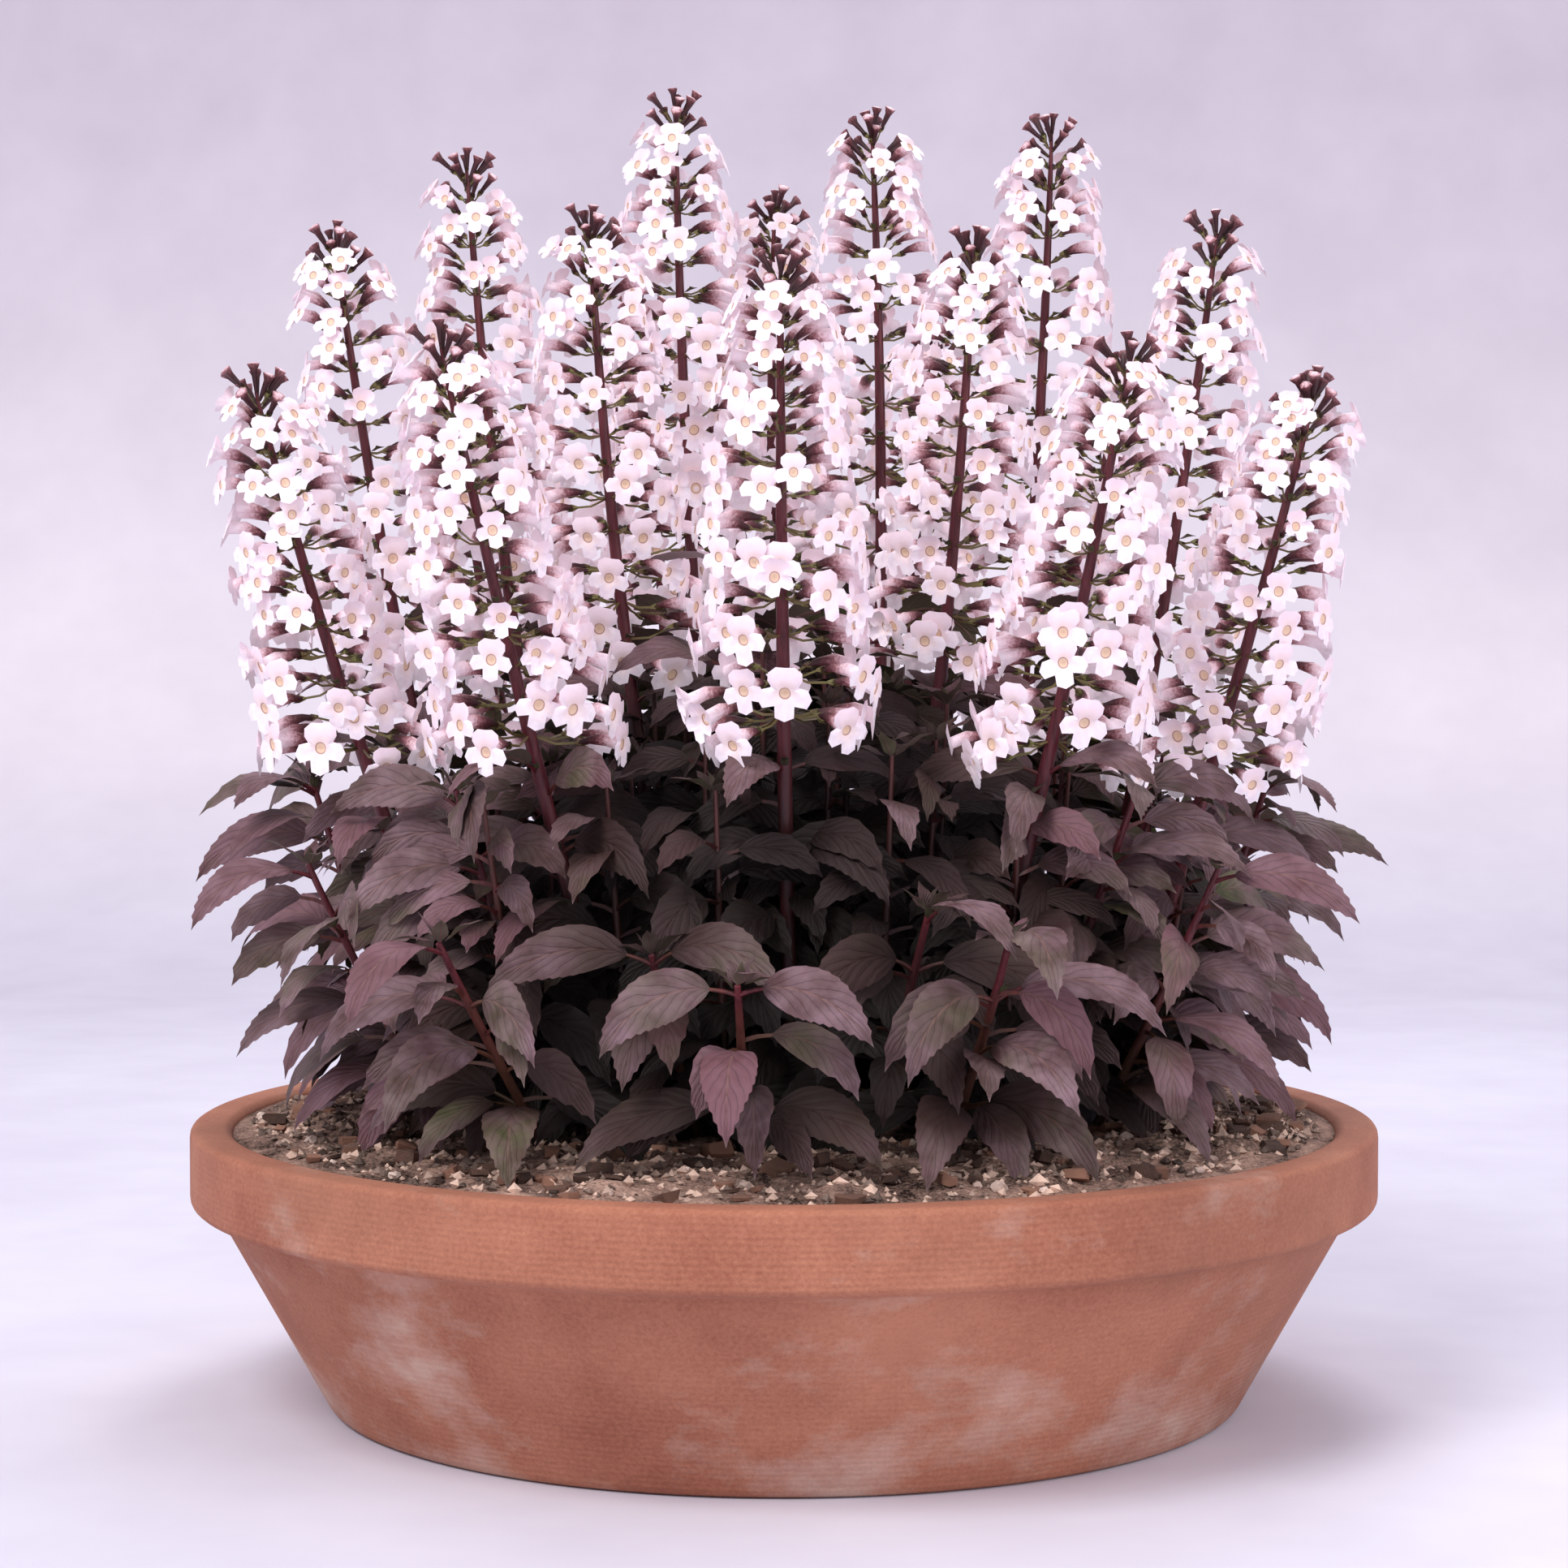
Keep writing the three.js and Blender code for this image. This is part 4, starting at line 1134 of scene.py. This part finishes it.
def make_cup_pattern():
    """The green cup of five pointed sepals behind a flower, along +X."""
    bm = new_mesh(FLOWER_LAYERS)
    bmesh.ops.create_cone(bm, cap_ends=True, segments=10, radius1=0.7, radius2=2.1, depth=CUP_LENGTH,
                          matrix=Matrix.Rotation(pi / 2, 4, "Y"))
    for corner in bm.verts:
        if corner.co.x > 0:
            pointed = round(atan2(corner.co.z, corner.co.y) / radians(36)) % 2
            corner.co.x += 2.2 if pointed else -1.6
        corner.co.x += CUP_LENGTH / 2 - 0.8
    for face in bm.faces:
        face.material_index = 1
    return as_mesh(bm, "cup_pattern")


flower_patterns = [make_flower_pattern(*kind) for kind in (
    ("open_flower", 1.0, 1.0, 1.6, 1.6, 0.5),
    ("wide_flower", 1.1, 1.08, 2.4, 3.2, 0.9),
    ("flat_flower", 0.9, 0.94, 0.2, 0.6, 0.3),
    ("cupped_flower", 1.0, 0.86, -3.4, 5.4, 0.2),
)]
trumpet_pattern = make_trumpet_pattern()
cup_pattern = make_cup_pattern()


def make_petal_finish():
    petal = Finish("petal", 0.55)
    along, down, tone = (petal.mark(name) for name in FLOWER_LAYERS)
    streaky = petal.clouds(620, 2)
    dark_end = petal.plus(along, petal.between(streaky, 0.3, 0.7, -0.05, 0.05))
    dark_end = petal.minus(dark_end, petal.between(tone, 0, 1, -0.08, 0.12))
    tube = petal.add("ShaderNodeValToRGB", {0: dark_end})
    stops = tube.color_ramp.elements
    for i, (position, colour) in enumerate(TUBE_COLOURS):
        stop = stops[i] if i < 2 else stops.new(position)
        stop.position = position
        stop.color = linear(colour)
    petal.skin = petal.mix(petal.between(petal.clouds(220), 0.35, 0.65), (229, 219, 227), (219, 205, 217))
    rosy = petal.mix(petal.between(tone, 0, 1), (224, 201, 212), (214, 184, 195))
    petal.coat(petal.between(down, 0.14, 0.44, 0.6, 0), rosy)
    petal.skin = petal.mix(petal.between(along, 0.58, 0.66), tube.outputs[0], petal.skin)
    # Towards the throat the lobes turn warmer and a little darker: partly the throat's own peach tint, partly
    # painted shade.
    petal.coat(petal.between(along, 0.77, 0.9, 0, 0.6), (232, 206, 200))
    rim = petal.times(petal.between(along, 0.895, 0.905), petal.between(along, 0.915, 0.93, 1, 0))
    petal.coat(petal.times(rim, 0.85), (140, 92, 72))
    petal.coat(petal.between(along, 0.91, 0.93), (212, 182, 158))
    # The petals give off their own colour as a faint painted glow, which lightens their shaded sides as light
    # shining through them would.
    petal.join(petal.skin, petal.sockets["Emission Color"])
    petal.join(PETAL_PAINTED_GLOW, petal.sockets["Emission Strength"])
    return petal.finished(streaky, 0.0002, 0.4)


def make_cup_finish():
    cup = Finish("green_cup", 0.6)
    cup.skin, specks = cup.grain((96, 62, 44), (146, 150, 88), 140, 900)
    return cup.finished(specks, 0.0003)


flower_skins = [make_petal_finish(), make_cup_finish()]


# Flower sprays. The stem runs on through the spray, with opposite clusters of flowers on short stalks at each
# joint, closer and smaller towards the tip, which ends in a crown of dark narrow trumpets. A pair of values
# is for the lowest flowers of a spray and for its highest.
FLOWERS_EACH_SIDE = (4, 4, 4, 4, 4, 3, 3, 3, 3, 3, 3, 3, 3, 2, 2)
TRUMPETS_FROM = 13
TRUMPET_SIZE = 1.2
FLOWER_REACH = (50, 27)
FLOWER_SIZE = (1.1, 0.8)
FLOWER_RISE = (-4, 50)
CLUSTER_FAN = (0.55, 0.8)
LEVEL_TWIST = 1.75
SIDEWAYS = 0.24
TO_LIGHT = 0.26
CROWN_TRUMPETS = 5
BRACT_LENGTH = 9
bract_pattern = make_blade_pattern(4, 2)


def set_flower(bm, pattern, root, azimuth, rise, scale, tone, roll=0.0):
    """A copy of a flower pattern with its base at a point, looking along a direction."""
    fresh = copy_in(bm, pattern)
    turn = Matrix.Rotation(azimuth, 4, "Z") @ Matrix.Rotation(-rise, 4, "Y") @ Matrix.Rotation(roll, 4, "X")
    whole = Matrix.Scale(MM, 4) @ Matrix.Translation(root) @ turn @ Matrix.Scale(scale, 4)
    bmesh.ops.transform(bm, matrix=whole, verts=fresh)
    layer = bm.verts.layers.float["tone"]
    for corner in fresh:
        corner[layer] = tone


def grow_stalk(stalks, start, end, radius):
    sag = Vector((0, 0, -0.1 * (end - start).length))
    grow_tube(stalks, thread_pattern, lambda s: start.lerp(end, s) + sag * (4 * s * (1 - s)),
              lambda s: radius, lambda s: 0.35 + 0.3 * s)


def grow_cluster(stem, stalks, flowers, level, up, facing, first_item):
    """The flowers of one side of a joint, which fan out, each on its stalk, over a small pointed leaf."""
    number = stem.number
    share = lerp(stem.leafy, 1, 0.03 + 0.935 * (up * 1.36 - 0.36 * up * up))
    joint, thick = stem_point(stem, share), stem_radius(stem, share)
    bract_root, bract_length = joint + direction(facing, 0) * thick * 0.6, BRACT_LENGTH * lerp(1.5, 0.8, up)
    grow_small_leaf(stalks, bract_pattern, bract_root, facing, 30 + 30 * up, 50, bract_length, 0.2, 0.1, 0.5,
                    0.9)
    for k in range(FLOWERS_EACH_SIDE[level]):
        item = first_item + k
        from_middle = k - (FLOWERS_EACH_SIDE[level] - 1) / 2
        azimuth = facing + from_middle * lerp(*CLUSTER_FAN, up) + 0.16 * sway(number, item, 50)
        azimuth -= SIDEWAYS * sin(2 * azimuth)
        rise = radians(lerp(*FLOWER_RISE, up ** 2) + 10 * sway(number, item, 51))
        reach = lerp(*FLOWER_REACH, up ** 0.75) * (1 + lerp(0.16, 0.12, up) * sway(number, item, 52))
        scale = lerp(*FLOWER_SIZE, up) * (1 + 0.09 * sway(number, item, 53))
        heading = direction(azimuth, rise)
        lift = Vector((0, 0, lerp(7, 2, up) * sway(number, item, 55)))
        base = joint + heading * max(reach - TUBE_LENGTH * scale, 4) + lift
        tone = 0.8 * draw(number, item, 56) + 0.5 * max(up - 0.6, 0)
        if level >= TRUMPETS_FROM:
            set_flower(flowers, trumpet_pattern, base, azimuth, rise, scale * TRUMPET_SIZE, 0.9)
        else:
            pattern = flower_patterns[int(len(flower_patterns) * draw(number, item, 54) ** 1.4)]
            faced = azimuth - TO_LIGHT * cos(azimuth) + 0.3 * sway(number, item, 60)
            set_flower(flowers, pattern, base, faced, rise, scale, tone, 0.24 * sway(number, item, 57))
        set_flower(flowers, cup_pattern, base - heading, azimuth, rise, scale, tone)
        grow_stalk(stalks, joint + direction(azimuth, 0) * thick * 0.5, base, lerp(0.8, 0.55, up))


def make_spray(stem):
    number = stem.number
    flowers = new_mesh(FLOWER_LAYERS)
    stalks = new_mesh(PLANT_LAYERS, True)
    grow_tube(stalks, stem_pattern, lambda s: stem_point(stem, lerp(stem.leafy - 0.002, 1, s)),
              lambda s: stem_radius(stem, lerp(stem.leafy, 1, s)) * (1 - 0.5 * s ** 12), lambda s: 0.0)
    turn = pi * draw(number, 0, 15)
    levels = len(FLOWERS_EACH_SIDE)
    for level, side in product(range(levels), range(2)):
        facing = turn + level * LEVEL_TWIST + pi * side
        grow_cluster(stem, stalks, flowers, level, level / (levels - 1), facing, level * 10 + side * 5)
    for k in range(CROWN_TRUMPETS):
        climb = k / (CROWN_TRUMPETS - 1)
        azimuth = turn + 2.4 * k
        rise = radians(lerp(42, 82, climb) + 6 * sway(number, k, 58))
        base = stem_point(stem, lerp(0.975, 0.996, climb)) + direction(azimuth, rise) * 1.5
        set_flower(flowers, trumpet_pattern, base, azimuth, rise, lerp(1.0, 0.8, draw(number, k, 59)), 1.0)
        set_flower(flowers, cup_pattern, base, azimuth, rise, 0.5, 0.5)
    finish_piece(stalks, f"spray_stem_{number:02d}", plant_skins, [stem.spray_node], 60)
    finish_piece(flowers, f"spray_flowers_{number:02d}", flower_skins, [stem.spray_node], 60)


for stem in stems:
    if stem.flowers:
        make_spray(stem)


# Studio. A pale lavender sweep, a large soft light above the camera's left, a fill from the right, one from
# behind, and a camera level with the middle of the plant, as the photograph's was.
EYE = Vector((0, -2.0, 0.435))
LOOK_AT = Vector((0, 0, 0.352))
LENS = 79.5
SENSOR_WIDTH = 36
SWEEP_SIZE = 4.7
SWEEP_START = 2.2
SWEEP_BEND = 1.2
SWEEP_DROP = 0.0002
LIGHTS_AIM = Vector((0, 0, 0.4))
ROOM_COLOUR = (0.92, 0.87, 0.96, 1)
ROOM_LIGHT = 0.74


def make_sweep():
    paper = Finish("pale_sweep", 0.9, 0.1)
    height = paper.height()
    # Painted shade: the sweep is one paper, but its colour is darker and greyer on the floor and towards its
    # top, and palest just above the floor.
    paper.skin = paper.mix(paper.between(height, -0.06, 0.3), (192, 195, 214), (252, 247, 253))
    paper.coat(paper.between(height, 0.5, 1.3), (216, 207, 219))
    mottled, _ = paper.grain((216, 209, 218), (240, 235, 242), 1.5, 6)
    paper.coat(0.4, mottled)
    paper.join(paper.skin, paper.sockets["Base Color"])
    bm = bmesh.new()
    bmesh.ops.create_grid(bm, x_segments=2, y_segments=46, size=SWEEP_SIZE)
    for corner in bm.verts:
        back = corner.co.y - SWEEP_START
        if back > 0:
            angle = min(back / SWEEP_BEND, pi / 2)
            rest = max(back - SWEEP_BEND * pi / 2, 0)
            corner.co.y = SWEEP_START + SWEEP_BEND * sin(angle)
            corner.co.z = SWEEP_BEND * (1 - cos(angle)) + rest
        corner.co.x *= 2
        corner.co.z -= SWEEP_DROP
    mesh = as_mesh(bm, "pale_sweep")
    mesh.polygons.foreach_set("use_smooth", [True] * len(mesh.polygons))
    mesh.materials.append(paper.material)
    set_out("pale_sweep", mesh)


def look_from(holder, place, target):
    holder.location = place
    holder.rotation_euler = (target - Vector(place)).to_track_quat("-Z", "Y").to_euler()


def add_soft_light(name, place, size, power, colour):
    lamp = bpy.data.lights.new(name, "AREA")
    lamp.shape = "DISK"
    lamp.size = size
    lamp.energy = power
    lamp.color = colour
    look_from(set_out(name, lamp), place, LIGHTS_AIM)


make_sweep()
add_soft_light("key_light", (-1.3, -1.7, 2.5), 1.6, 63, (1.0, 0.985, 0.99))
add_soft_light("fill_light", (1.9, -1.5, 1.3), 1.8, 22, (0.98, 0.97, 1.0))
add_soft_light("back_light", (0.4, 1.5, 2.2), 1.2, 26, (0.98, 0.96, 1.0))

world = bpy.data.worlds.new("pale_room")
world.use_nodes = True
room = world.node_tree.nodes["Background"].inputs
room[0].default_value = ROOM_COLOUR
room[1].default_value = ROOM_LIGHT
bpy.context.scene.world = world
bpy.context.scene.view_settings.view_transform = "Standard"

lens = bpy.data.cameras.new("camera")
lens.lens = LENS
lens.sensor_width = SENSOR_WIDTH
camera = set_out("camera", lens)
look_from(camera, EYE, LOOK_AT)
bpy.context.scene.camera = camera
